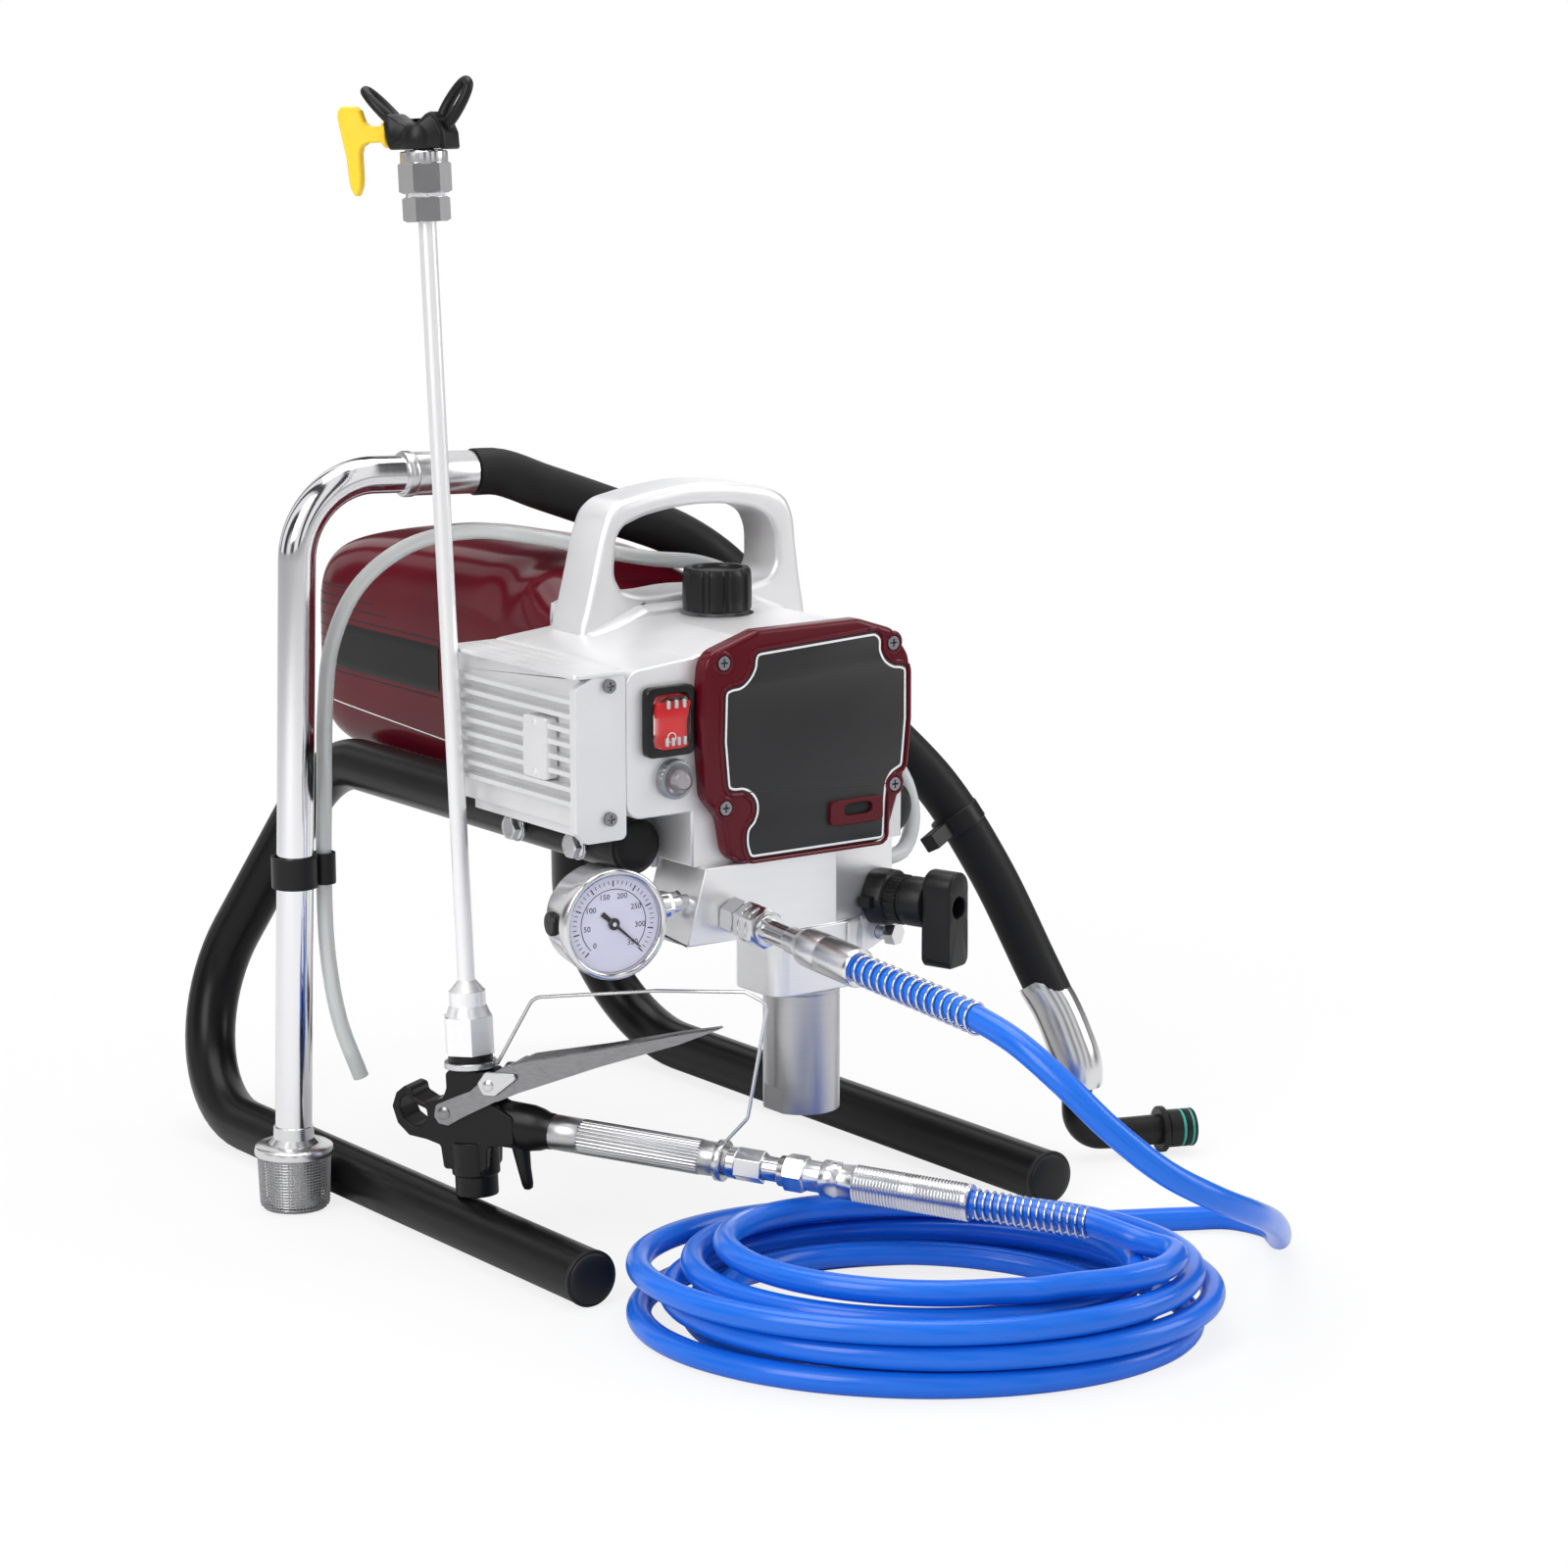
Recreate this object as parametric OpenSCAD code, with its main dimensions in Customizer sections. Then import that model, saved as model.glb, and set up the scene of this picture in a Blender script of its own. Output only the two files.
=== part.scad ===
// Airless paint sprayer: a motor driven piston pump on two bent skids, with a suction set,
// a high-pressure hose and a spray gun on an extension pole.
// Millimetres. +X to the right as seen from the front, +Y to the back, +Z up, floor at z = 0.

/* [Skids] */
// Outside diameter of the skid tube
skid_od = 32; // [28:0.5:34]
// Wall of the skid tube
skid_wall = 2; // [1:0.5:4]
// Distance from the middle to each foot tube's axis
foot_x = 166; // [162:1:172]
// Distance from the middle to each upper rail's axis
rail_x = 91.5; // [91.5:0.5:93]
// Height of the upper rails' axes
rail_z = 242; // [240:0.5:242]
// Depth of the corner where a foot would meet its leg
foot_corner_y = 510; // [500:1:530]
// Depth of the corner where a leg would meet its rail
rail_corner_y = 400; // [390:1:410]
// Radius of the lower bend
low_bend_r = 80; // [70:1:95]
// Radius of the upper bend
top_bend_r = 60; // [45:1:70]
// Where the rails start, behind the feet's front ends
rail_front_y = 63; // [58:1:70]
// Height of the domed tube plugs
cap_dome = 7; // [3:0.5:10]
// Shank diameter of the bolts through the rails
bolt_d = 8; // [6:0.5:9]

/* [Drive housing] */
// Width of the right half of the housing
housing_right = 75; // [74:0.5:76]
// Left side of the housing's upper block
housing_left = 119; // [116:1:121]
// Front face of the housing
housing_front = 28; // [26:0.5:29]
// Back face of the housing
housing_back = 172; // [168:1:176]
// Underside of the upper block
housing_floor = 265; // [262:1:267]
// Top of the housing behind the cover
housing_top = 362; // [360:0.5:364]
// Underside of the neck that stands on the manifold
neck_floor = 233; // [231:0.5:235]
// Front of the carrying handle
handle_front = 130; // [128:1:133]
// Depth of the carrying handle
handle_depth = 36; // [30:1:38]
// Top of the carrying handle
handle_top = 436; // [430:1:450]

/* [Cover and controls] */
// Thickness of the front cover
cover_t = 10; // [8:0.5:12]
// Depth of the recess for the cover plate
plate_recess = 1.2; // [0.8:0.1:2]
// Width of the switch bezel
switch_w = 33; // [30:0.5:33.5]
// Height of the switch bezel
switch_h = 40; // [36:0.5:42]
// Radius of the breaker's nut
breaker_r = 11.5; // [10:0.5:13]
// Radius of the pressure knob
knob_r = 20.5; // [18:0.5:22]
// Height of the pressure knob
knob_h = 29; // [25:1:32]
// Where the knob's axis stands behind the feet's front ends
knob_y = 108; // [106:0.5:108]

/* [Control box] */
// Outer face of the heat-sink fins
fin_tip = 153; // [150:0.5:153]
// Height of the fins beyond the box wall
fin_h = 8; // [5:0.5:10]
// Thickness of one fin
fin_t = 3; // [2:0.1:4]
// Distance from one fin to the next
fin_pitch = 8.2; // [7:0.1:8.4]

/* [Motor and gears] */
// Height of the crank axis
crank_z = 275; // [274.5:0.5:275]
// Sideways place of the crank and pump axis
pump_x = 14; // [13:0.5:15]
// Throw of the crank pin
crank_throw = 8; // [6:0.5:8.5]
// Radius of the crank pin
pin_r = 5; // [4:0.5:5]
// Module of the gear pair
gear_module = 1.25; // [1.25:0.05:1.25]
// Teeth on the drive gear
gear_teeth = 53; // [53:1:53]
// Teeth on the motor pinion
pinion_teeth = 13; // [13:1:13]
// Width of the gears
gear_w = 10; // [8:0.5:11]
// Outside radius of the motor's can
motor_r = 42; // [38:0.5:42]
// Length of the motor's can
motor_len = 190; // [170:1:210]
// Half width of the motor's cover
motor_cover_half = 78; // [76:0.5:80]
// Back end of the motor's cover
motor_cover_back = 443; // [435:1:455]

/* [Pump and manifold] */
// Depth of the pump's axis
pump_y = 44; // [43:0.5:45]
// Outside radius of the pump cylinder
pump_r = 22.5; // [21:0.5:24]
// Foot of the pump cylinder above the floor
pump_foot = 76; // [72:0.5:80]
// Radius of the piston rod
rod_r = 8; // [6:0.5:9]
// Radius of the socket in the pump's foot
socket_r = 12.1; // [10:0.1:13]
// Depth of the socket in the pump's foot
socket_len = 16; // [14:0.5:18]
// Front face of the manifold
manifold_front = 21; // [19:0.5:22]
// Back face of the manifold
manifold_back = 68; // [66:0.5:69]
// Underside of the manifold's upper body
manifold_floor = 189; // [185:1:193]
// Turn of the manifold's right-hand face
facet_turn = 18; // [14:1:22]

/* [Gauge and valve] */
// Outside diameter of the gauge's case
gauge_d = 63; // [58:0.5:65]
// Depth of the gauge's case
gauge_depth = 32; // [26:0.5:36]
// Turn of the gauge's face to the left
gauge_turn = 9.5; // [5:0.5:12]
// Width of the prime lever's paddle
lever_w = 20; // [18:0.5:22]
// Height of the prime lever's paddle
lever_h = 56; // [52:1:60]

/* [High-pressure hose] */
// Outside diameter of the high-pressure hose
hose_d = 14; // [12:0.5:14]
// Wire of the hose's bend springs
spring_wire = 1.5; // [1.2:0.1:1.8]
// Curls of each bend spring
spring_curls = 15; // [10:1:17]
// Long half axis of the floor coil's outer loop
coil_long = 165; // [163:1:170]
// Short half axis of the floor coil's outer loop
coil_short = 128; // [126:1:132]
// Long half axis lost from one loop to the next
coil_step_long = 30; // [26:0.5:30]
// Short half axis lost from one loop to the next
coil_step_short = 19; // [16:0.5:19]
// Loops in one layer of the coil
coil_layer_loops = 2; // [2:1:2]
// Loops in the whole coil
coil_loops = 6.5; // [6.5:1:6.5]

/* [Spray gun] */
// Outside diameter of the extension pole
pole_d = 10; // [9:0.5:11]
// Wall of the extension pole
pole_wall = 1.5; // [1:0.1:2]
// Length of the extension pole
pole_len = 437; // [400:1:480]
// Lean of the pole towards the back
pole_lean = 3.9; // [3:0.1:5]
// Turn of the gun's handle to the front
gun_yaw = 58; // [56:0.5:60]
// Diameter of the gun's handle
grip_d = 19.5; // [17:0.5:20.5]
// Rake of the gun's handle
grip_rake = 6.5; // [5:0.5:8]
// Thickness of the gun's body
gun_t = 22; // [18:0.5:24]
// Diameter of the trigger guard's wire
guard_wire = 3; // [2:0.1:4]

/* [Suction set] */
// Outside diameter of the suction tube
suction_d = 22; // [20:0.5:24]
// Wall of the suction tube
suction_wall = 1.5; // [1:0.1:2.5]
// Radius of the suction tube's upper bend
suction_bend_r = 48; // [40:1:60]
// Height of the suction tube's level stretch
suction_top = 441; // [436:1:450]
// Radius of the strainer's rim
strainer_r = 24; // [20:0.5:27]
// Outside diameter of the suction hose
suction_hose_d = 28; // [25:0.5:30]
// Outside diameter of the return tube
return_d = 9.5; // [8:0.5:11]

/* [Fits] */
// Radial play of a shaft in its bore
running = 0.05; // [0.02:0.01:0.1]
// Play between parts that don't touch
clear = 0.3; // [0.2:0.05:0.5]

/* [Hidden] */
$fn = 48;

// The machine's own zero is midway between the feet, level with their front ends.
// The part's origin is under the middle of everything but the loose hoses.
machine_at = [22.5, -222.3, 0];

skid_r = skid_od / 2;
skid_bore = skid_r - skid_wall;
skid_left_path = [[-foot_x, 0, skid_r], [-foot_x, foot_corner_y, skid_r],
    [-rail_x, rail_corner_y, rail_z], [-rail_x, rail_front_y, rail_z]];
skid_right_path = [for (p = skid_left_path) [-p.x, p.y, p.z]];
skid_bends = [low_bend_r, top_bend_r];
tube_sides = 24;
bolt_y = [94, 158];
bolt_z = rail_z - 3;
bolt_r = bolt_d / 2;
bolt_grip = 22;
hex_af = 13;
hex_h = 5.5;
washer_t = 1.6;
washer_r = 8.5;

cover_front = housing_front - cover_t;
handle_back = handle_front + handle_depth;
handle_wall = 13;
handle_half = 79;
handle_slant = 14;
handle_foot = 350;
handle_hole_floor = 374;
handle_hole_half = 55;

// Screw places on the cover and on the control box, as [x, z] and as heights
cover_screws = [[-60, 350], [60, 350], [-59, 267], [61.5, 267]];
box_screws = [[-131, 343], [-131, 268]];
screw_r = 2;
screw_head_r = 4;
screw_head_h = 2.4;
screw_len = 16;

gear_pressure = 25;
gear_r = gear_teeth * gear_module / 2;
pinion_r = pinion_teeth * gear_module / 2;
motor_z = crank_z + sqrt(pow(gear_r + pinion_r, 2) - pow(pump_x, 2));
gear_slack = 0.18;
gear_front = 87;
gear_room = 3;
crank_shaft_r = 7;
pinion_shaft_r = 4;
gear_cavity = [gear_front - gear_room, gear_front + gear_w + gear_room];
crank_disc_t = 7;
crank_disc_front = pump_y + 8.5;
crank_disc_r = 17;
crank_cavity_back = crank_disc_front + crank_disc_t + 2.5;
yoke_half_w = crank_throw + pin_r + 0.6;
yoke_half_h = 2 * crank_throw + pin_r + 0.6;
yoke_wall = 4;
yoke_t = 13;
crank_cavity_floor = crank_z - yoke_half_h - yoke_wall - crank_throw - 0.9;

can_front = 134;
can_wall = 3;
fan_r = 38;
shell_wall = 3;
motor_cover_floor = 264;
motor_cover_r = 74;
motor_cover_dip = 367;
motor_shaft_back = can_front + motor_len + 26;

piston_r = 11;
piston_bore = piston_r + running;
piston_z = 122;
piston_h = 12;
manifold_top = neck_floor;
pump_top = 150;
ball_r = 7.5;
ball_seat_z = pump_foot + socket_len;
ball_seat_t = 4;
ball_seat_r = 5.5;
ball_lift = 3;
cage_r = ball_r + 0.6;
ball_z = ball_seat_z + ball_seat_t - 0.9 + sqrt(pow(ball_r, 2) - pow(ball_seat_r, 2)) + 1;

gauge_at = [-138.6, 10, 211.7];
gauge_r = gauge_d / 2;
gauge_wall = 2;
dial_depth = 4.5;
needle_len = 20;
needle_pivot_r = 1.2;
gauge_stem_z = gauge_at.z;
gauge_stem_y = 33;

facet_start = 22;
valve_at = [61, 33.7, 198];
drain_at = [69, 34, 174.5];
valve_cap_r = 17;
valve_cap_h = 14;
valve_len = 24;
lever_hub_r = 14.7;
lever_hub_h = 16;

outlet_at = [-52, 21, 204];
outlet_droop = 4;
swivel_start = 56;
spring_start = 120;
spring_end = 226;
hose_r = hose_d / 2;
spring_r = hose_r + 0.45 + spring_wire / 2;

gun_at = [-158.5, 130.2, 77];
pole_r = pole_d / 2;
pole_foot = 81;
pole_top = pole_foot + pole_len;
grip_start = 14;
grip_end = 161;
grip_zero = 0.5;
hose_fit_start = 192;
gun_ferrule_end = 306;
gun_spring_end = 376;

suction_r = suction_d / 2;
strainer_at = [-203, 262, 0];
suction_path = [[-203, 262, 46], [-195, 254, suction_top], [-82, 243, suction_top - 4]];

elbow_at = [240, 60];
elbow_z = 15.5;
elbow_tip = [312, 33];

// Route of the high-pressure hose after the machine's bend spring, down to the floor coil
run_points = [[-51, -232, 182], [-44, -260, 166], [-30, -284, 143], [-8, -300, 121],
    [22, -306, 103], [56, -298, 87], [90, -276, 71], [122, -248, 54], [153, -217, 37],
    [184, -184, 21], [210, -155, 10], [224, -130, 7.2], [218, -107, 7.2], [195, -92, 7.2],
    [160, -73, 7.2], [122, -52, 7.2], [84, -35, 7.2], [44, -22, 7.2]];
// Route from the end of the floor coil up to the gun's bend spring
lead_points = [[-30, -251, 50.6], [2, -260, 50.6], [34, -257, 50.6], [55, -239, 50.3],
    [54, -213, 49.8]];
// Route of the suction hose, from the suction tube down to the elbow
suction_hose_points = [[-40, 232, 426], [0, 216, 410], [40, 202, 393], [62, 197, 378],
    [84, 193, 357], [115, 173, 319], [150, 151, 275], [180, 128, 235], [205, 106, 183],
    [225, 88, 128], [236, 70, 86]];
// Route of the return tube, from the barb to its free end beside the suction tube
return_points = [[92, 62, 212], [105, 65, 214], [115, 69, 228], [117, 76, 249], [110, 92, 272],
    [97, 122, 293], [87, 146, 318], [84, 160, 338], [79, 171.5, 354], [62, 173.5, 369],
    [36, 175.5, 380], [3, 182, 385], [-25, 196, 391], [-52, 216, 398], [-85, 240, 402],
    [-118, 258, 394], [-148, 267, 371], [-166, 268, 338], [-174, 264, 300], [-178, 260, 255],
    [-180.5, 258, 216], [-181, 257.5, 196], [-181, 254, 150], [-176, 250, 112],
    [-165, 246, 78]];

coil_at = [-36, -140];
coil_axis = [0.7835, -0.6217];
coil_start_deg = 110;
coil_pitch = hose_d + 0.5;
coil_floor = hose_r + 0.1;
coil_rings = 24;

// ---- Helpers: numbers and points -------------------------------------------------------

function unit(v) = v / norm(v);
function side_of(z) = unit(cross(z, abs(z.z) < 0.9 ? [0, 0, 1] : [1, 0, 0]));
function last(v) = v[len(v) - 1];

// Points of an arc about the origin, from angle a to angle b
function arc(r, a, b, n = 8) = [for (k = [0:n]) let (t = a + (b - a) * k / n) [r * cos(t), r * sin(t)]];

// One corner of an outline, rounded with radius r
function round_corner(a, b, c, r, n) =
    let (u = unit(a - b), v = unit(c - b), half = acos(max(-0.99999, min(0.99999, u * v))) / 2)
    r <= 0 || half > 89 ? [b]
    : let (d = min(r / tan(half), 0.48 * min(norm(a - b), norm(c - b))), q = d * tan(half),
           m = b + unit(u + v) * q / sin(half), s = b + u * d - m, e = b + v * d - m,
           w = 180 - 2 * half)
      [for (k = [0:n]) m + (sin((1 - k / n) * w) * s + sin(k / n * w) * e) / sin(w)];

// An outline with every corner rounded
function rounded(p, r, n = 6) =
    [for (i = [0:len(p) - 1])
        each round_corner(p[(i + len(p) - 1) % len(p)], p[i], p[(i + 1) % len(p)], r, n)];

// A route with each inner corner bent to its radius
function bent(p, bends, n = 8) = concat([p[0]],
    [for (i = [1:len(p) - 2]) each round_corner(p[i - 1], p[i], p[i + 1], bends[i - 1], n)],
    [last(p)]);

// Unit tangents along a route, and normals carried along it without twist
function tangents(p) = [for (i = [0:len(p) - 1])
    unit((i == 0 ? [0, 0, 0] : unit(p[i] - p[i - 1]))
        + (i == len(p) - 1 ? [0, 0, 0] : unit(p[i + 1] - p[i])))];
function carried(t, n, i = 0) = i == len(t) ? []
    : let (m = unit(n - t[i] * (n * t[i]))) concat([m], carried(t, m, i + 1));

// ---- Helpers: placing and shapes --------------------------------------------------------

module at_machine() {
    translate(machine_at) children();
}

module at_gun() {
    at_machine() translate(gun_at) rotate([-pole_lean, 0, 0]) rotate([0, 0, -gun_yaw]) children();
}

// Places children with their Z along the gun's handle axis, Z = 0 under the pole's axis
module along_grip() {
    at_gun() translate([0, 0, grip_zero]) rotate([0, 90 + grip_rake, 0]) children();
}

// Places children with their Z along the machine's outlet, Z = 0 at the manifold's face
module along_outlet() {
    at_machine() translate(outlet_at) rotate([90 + outlet_droop, 0, 0]) children();
}

module frame_at(o, x, z) {
    y = cross(z, x);
    multmatrix([[x.x, y.x, z.x, o.x], [x.y, y.y, z.y, o.y], [x.z, y.z, z.z, o.z], [0, 0, 0, 1]])
        children();
}

// Extrudes an outline drawn in X and Z along the depth, from y0 to y1
module through_y(y0, y1) {
    translate([0, y1, 0]) rotate([90, 0, 0]) linear_extrude(y1 - y0) children();
}

// Extrudes an outline drawn in Y and Z sideways, from x0 to x1
module through_x(x0, x1) {
    translate([x0, 0, 0]) rotate([90, 0, 90]) linear_extrude(x1 - x0) children();
}

// A cylinder along the depth, from y0 to y1, about [x, z]
module bore_y(x, z, y0, y1, r) {
    translate([x, y1, z]) rotate([90, 0, 0]) cylinder(h = y1 - y0, r = r);
}

module bore_x(y, z, x0, x1, r) {
    translate([x0, y, z]) rotate([0, 90, 0]) cylinder(h = x1 - x0, r = r);
}

// A ring along Z
module ring(h, ro, ri) {
    difference() {
        cylinder(h = h, r = ro);
        translate([0, 0, -1]) cylinder(h = h + 2, r = ri);
    }
}

// A hexagonal prism along Z, measured across its flats
module hex(h, af) {
    cylinder(h = h, r = af / sqrt(3), $fn = 6);
}

// The rings of a tube along a route, each of 'sides' points
function tube_rings(p, r, sides) = let (t = tangents(p), n = carried(t, side_of(t[0])))
    [for (i = [0:len(p) - 1]) for (k = [0:sides - 1])
        let (a = 360 * k / sides) p[i] + r * (cos(a) * n[i] + sin(a) * cross(t[i], n[i]))];
// The triangles between 'count' rings, whose first point has the number 'from'
function tube_walls(count, sides, from = 0) =
    [for (i = [0:count - 2]) for (k = [0:sides - 1])
        let (a = from + i * sides + k, b = from + i * sides + (k + 1) % sides)
        each [[a, b + sides, b], [a, a + sides, b + sides]]];
function flipped(faces) = [for (f = faces) [f[0], f[2], f[1]]];

// A solid bar swept along a route's points
module swept(p, r, sides) {
    end = (len(p) - 1) * sides;
    foot = [for (k = [1:sides - 2]) [0, k, k + 1]];
    head = [for (k = [1:sides - 2]) [end, end + k + 1, end + k]];
    polyhedron(tube_rings(p, r, sides), concat(tube_walls(len(p), sides), foot, head));
}

// An open tube swept along a route's points
module swept_tube(p, ro, ri, sides) {
    n = len(p) * sides;
    end = n - sides;
    ends = [for (k = [0:sides - 1]) let (m = (k + 1) % sides)
        each [[k, m, n + m], [k, n + m, n + k], [end + m, end + k, n + end + k],
            [end + m, n + end + k, n + end + m]]];
    polyhedron(concat(tube_rings(p, ro, sides), tube_rings(p, ri, sides)),
        concat(tube_walls(len(p), sides), flipped(tube_walls(len(p), sides, n)), ends));
}

// ---- Skids ------------------------------------------------------------------------------

module skid(path, side) {
    at_machine() difference() {
        swept_tube(bent(path, skid_bends), skid_r, skid_bore, tube_sides);
        for (y = bolt_y)
            bore_x(y, bolt_z, side * rail_x - skid_od, side * rail_x + skid_od, bolt_r + clear);
    }
}

module left_skid() {
    color([0.07, 0.07, 0.08]) skid(skid_left_path, -1);
}

module right_skid() {
    color([0.07, 0.07, 0.08]) skid(skid_right_path, 1);
}

// A domed plug, pushed into a tube end that faces -Y
module tube_cap() {
    plug_len = 12;
    lip = 1.5;
    plug_r = skid_bore * cos(180 / tube_sides) - 0.1;
    dome = [for (k = [0:8]) [skid_r * cos(90 * k / 8), lip + (cap_dome - lip) * sin(90 * k / 8)]];
    rotate([90, 0, 0]) rotate_extrude()
        polygon(concat([[0, -plug_len], [plug_r, -plug_len], [plug_r, 0],
            [skid_r, 0]], dome));
}

module skid_caps() {
    color([0.09, 0.09, 0.09]) at_machine() for (side = [-1, 1]) {
        translate([side * foot_x, 0, skid_r]) tube_cap();
        translate([side * rail_x, rail_front_y, rail_z]) tube_cap();
    }
}

module mounting_bolts() {
    face = rail_x + skid_r;
    color("silver") at_machine() for (side = [-1, 1]) for (y = bolt_y)
        translate([side * face, y, bolt_z]) rotate([0, side * 90, 0]) {
            translate([0, 0, clear]) ring(washer_t, washer_r, bolt_r - 0.5);
            translate([0, 0, clear + washer_t]) hex(hex_h, hex_af);
            translate([0, 0, housing_right - bolt_grip - face])
                cylinder(h = face + bolt_grip - housing_right + washer_t + clear + 0.1,
                    r = bolt_r);
        }
}

// ---- Drive housing ----------------------------------------------------------------------

block_outline = [[-housing_left, housing_floor], [-housing_left, 349], [-76, 353],
    [-40, housing_top], [38, housing_top], [60, 357], [housing_right + 1, 342],
    [housing_right + 1, housing_floor]];
handle_outer = [[-handle_half, handle_foot], [-handle_half, handle_foot + 18],
    [handle_slant - handle_half, handle_top - 12], [-18, handle_top - 2], [22, handle_top],
    [handle_half - 8, handle_top - 12], [handle_half, handle_foot + 18],
    [handle_half, handle_foot]];
handle_inner = [[-handle_hole_half, handle_hole_floor], [-handle_hole_half, 396], [-46, 412],
    [-15, handle_top - handle_wall - 2], [24, handle_top - handle_wall], [44, 414],
    [handle_hole_half + 5, 394], [handle_hole_half + 2, handle_hole_floor]];

module drive_housing() {
    neck_front = [[-housing_right, neck_floor], [-housing_right, housing_floor + 1],
        [housing_right, housing_floor + 1], [housing_right, neck_floor]];
    neck_back = [[-housing_right, 226], [-housing_right, housing_floor + 1],
        [housing_right, housing_floor + 1], [housing_right, 226]];
    pot_r = 9;
    dish_r = knob_r + 1;
    dish_z = 351;
    color([0.78, 0.78, 0.8]) at_machine() difference() {
        union() {
            through_y(housing_front, housing_back) polygon(rounded(block_outline, 10));
            through_y(housing_front, housing_back) polygon(neck_front);
            through_y(manifold_back + clear, housing_back) polygon(neck_back);
            through_y(handle_front, handle_back) polygon(rounded(handle_outer, 10));
        }
        through_y(handle_front - 1, handle_back + 1) polygon(rounded(handle_inner, 8));
        // Room for the yoke behind the cover, and its rod's way down
        through_y(housing_front - 1, crank_cavity_back)
            translate([pump_x - yoke_half_w - yoke_wall - 2, crank_cavity_floor])
                square([2 * (yoke_half_w + yoke_wall + 2), 2 * (crank_z - crank_cavity_floor)]);
        translate([pump_x, pump_y, neck_floor - 1]) cylinder(h = 12, r = rod_r + 1);
        // Room for the gears, the crank's bearing and the pinion's shaft
        bore_y(pump_x, crank_z, gear_cavity[0], gear_cavity[1], gear_r + gear_module + 1.2);
        bore_y(0, motor_z, gear_cavity[0], gear_cavity[1], pinion_r + gear_module + 1.6);
        bore_y(pump_x, crank_z, crank_cavity_back - 1, gear_cavity[1] + 8, crank_shaft_r + running);
        bore_y(0, motor_z, gear_cavity[1] - 1, can_front + 1, pinion_shaft_r + running);
        bore_y(0, motor_z, can_front - 1, housing_back + 1, motor_r + clear);
        // Room for the switch and the breaker, open to the control box
        through_y(34, 150) translate([-housing_left - 1, housing_floor + 6])
            square([56, 74]);
        through_y(housing_front - 1, 35) translate([switch_at[0], switch_at[1]])
            square([switch_w - 4, switch_h - 5], center = true);
        bore_y(-88, 286, housing_front - 1, 35, 7.6);
        // Seat of the pressure knob
        translate([0, knob_y, dish_z]) cylinder(h = 40, r = dish_r);
        translate([0, knob_y, 329]) cylinder(h = 30, r = pot_r);
        for (s = cover_screws) bore_y(s[0], s[1], housing_front - 1, housing_front + 14, screw_r + 0.1);
        for (y = bolt_y) {
            bore_x(y, bolt_z, -housing_right - 1, -housing_right + bolt_grip + 1, bolt_r + 0.1);
            bore_x(y, bolt_z, housing_right - bolt_grip - 1, housing_right + 1, bolt_r + 0.1);
        }
    }
}

cover_floor = neck_floor + clear;
cover_outline = [[-75, 320], [-71, 355], [-36, 366], [37, 366], [61.5, 358], [73, 341],
    [74, 310], [69.5, 272], [56, cover_floor], [-55, cover_floor], [-60, 260], [-71, 273]];
// The plate keeps clear of the screw bosses, so its outline is notched at all four
plate_outline = [[-58.5, 305], [-57.5, 333], [-48, 334.5], [-40.5, 339.5], [-37, 346],
    [-36.5, 352.5], [41.5, 356], [50, 354], [51, 346], [54, 339.5], [60, 336], [68.8, 334.7],
    [66.3, 277.3], [60, 275.5], [55.5, 270], [54.3, 262], [53.5, 252.5], [53, 236.5],
    [-41.3, 237], [-43.5, 252.5], [-38.5, 256.5], [-36.3, 266.5], [-40, 273], [-45.5, 276.5],
    [-56, 277.5]];
port_at = [33, 255];
port_frame = [[14, 247.5], [51.5, 247.5], [51.5, 262], [14, 262]];
port_slot = [[24, 253], [44, 253], [44, 260], [24, 260]];

module front_cover() {
    color([0.42, 0.05, 0.09]) at_machine() difference() {
        through_y(cover_front, housing_front) polygon(rounded(cover_outline, 7));
        through_y(cover_front - 1, cover_front + plate_recess) polygon(rounded(plate_outline, 3));
        for (s = cover_screws) {
            bore_y(s[0], s[1], cover_front - 1, housing_front + 1, screw_r + clear);
            bore_y(s[0], s[1], cover_front - 1, cover_front + plate_recess, screw_head_r + 0.5);
        }
        bore_y(port_at[0], port_at[1], cover_front - 1, cover_front + 5, 6);
    }
}

module cover_plate() {
    color([0.22, 0.22, 0.24]) at_machine() difference() {
        through_y(cover_front, cover_front + plate_recess) polygon(rounded(plate_outline, 3));
        through_y(cover_front - 1, housing_front) difference() {
            translate([-100, 200]) square([200, 200]);
            polygon([for (p = rounded(plate_outline, 3)) p * 0.999 + [0, 0.3]]);
        }
        bore_y(port_at[0], port_at[1], cover_front - 1, cover_front + 5, 6);
    }
}

// A pan-head screw with a cross recess, its head to +Z, its seat at z = 0
module pan_screw(len) {
    difference() {
        union() {
            cylinder(h = screw_head_h, r = screw_head_r);
            translate([0, 0, -len]) cylinder(h = len + 0.1, r = screw_r);
        }
        for (a = [0, 90]) rotate([0, 0, a])
            translate([-2.4, -0.5, screw_head_h - 1.2]) cube([4.8, 1, 2]);
    }
}

module housing_screws() {
    color("silver") at_machine() {
        for (s = cover_screws) translate([s[0], cover_front + plate_recess, s[1]])
            rotate([90, 0, 0]) pan_screw(screw_len + 4);
        for (s = box_screws) translate([s[0], housing_front, s[1]])
            rotate([90, 0, 0]) pan_screw(screw_len);
    }
}

module oil_port() {
    color([0.42, 0.05, 0.09]) at_machine() difference() {
        union() {
            bore_y(port_at[0], port_at[1], cover_front - 1, cover_front + 5, 5.9);
            through_y(cover_front - 3, cover_front) polygon(rounded(port_frame, 2.5));
        }
        through_y(cover_front - 4, cover_front + 2) polygon(rounded(port_slot, 3.4));
    }
}

// ---- Control box ------------------------------------------------------------------------

box_wall = fin_tip - fin_h;
box_floor = 255;
box_top = 349;
box_back = 163;

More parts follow.
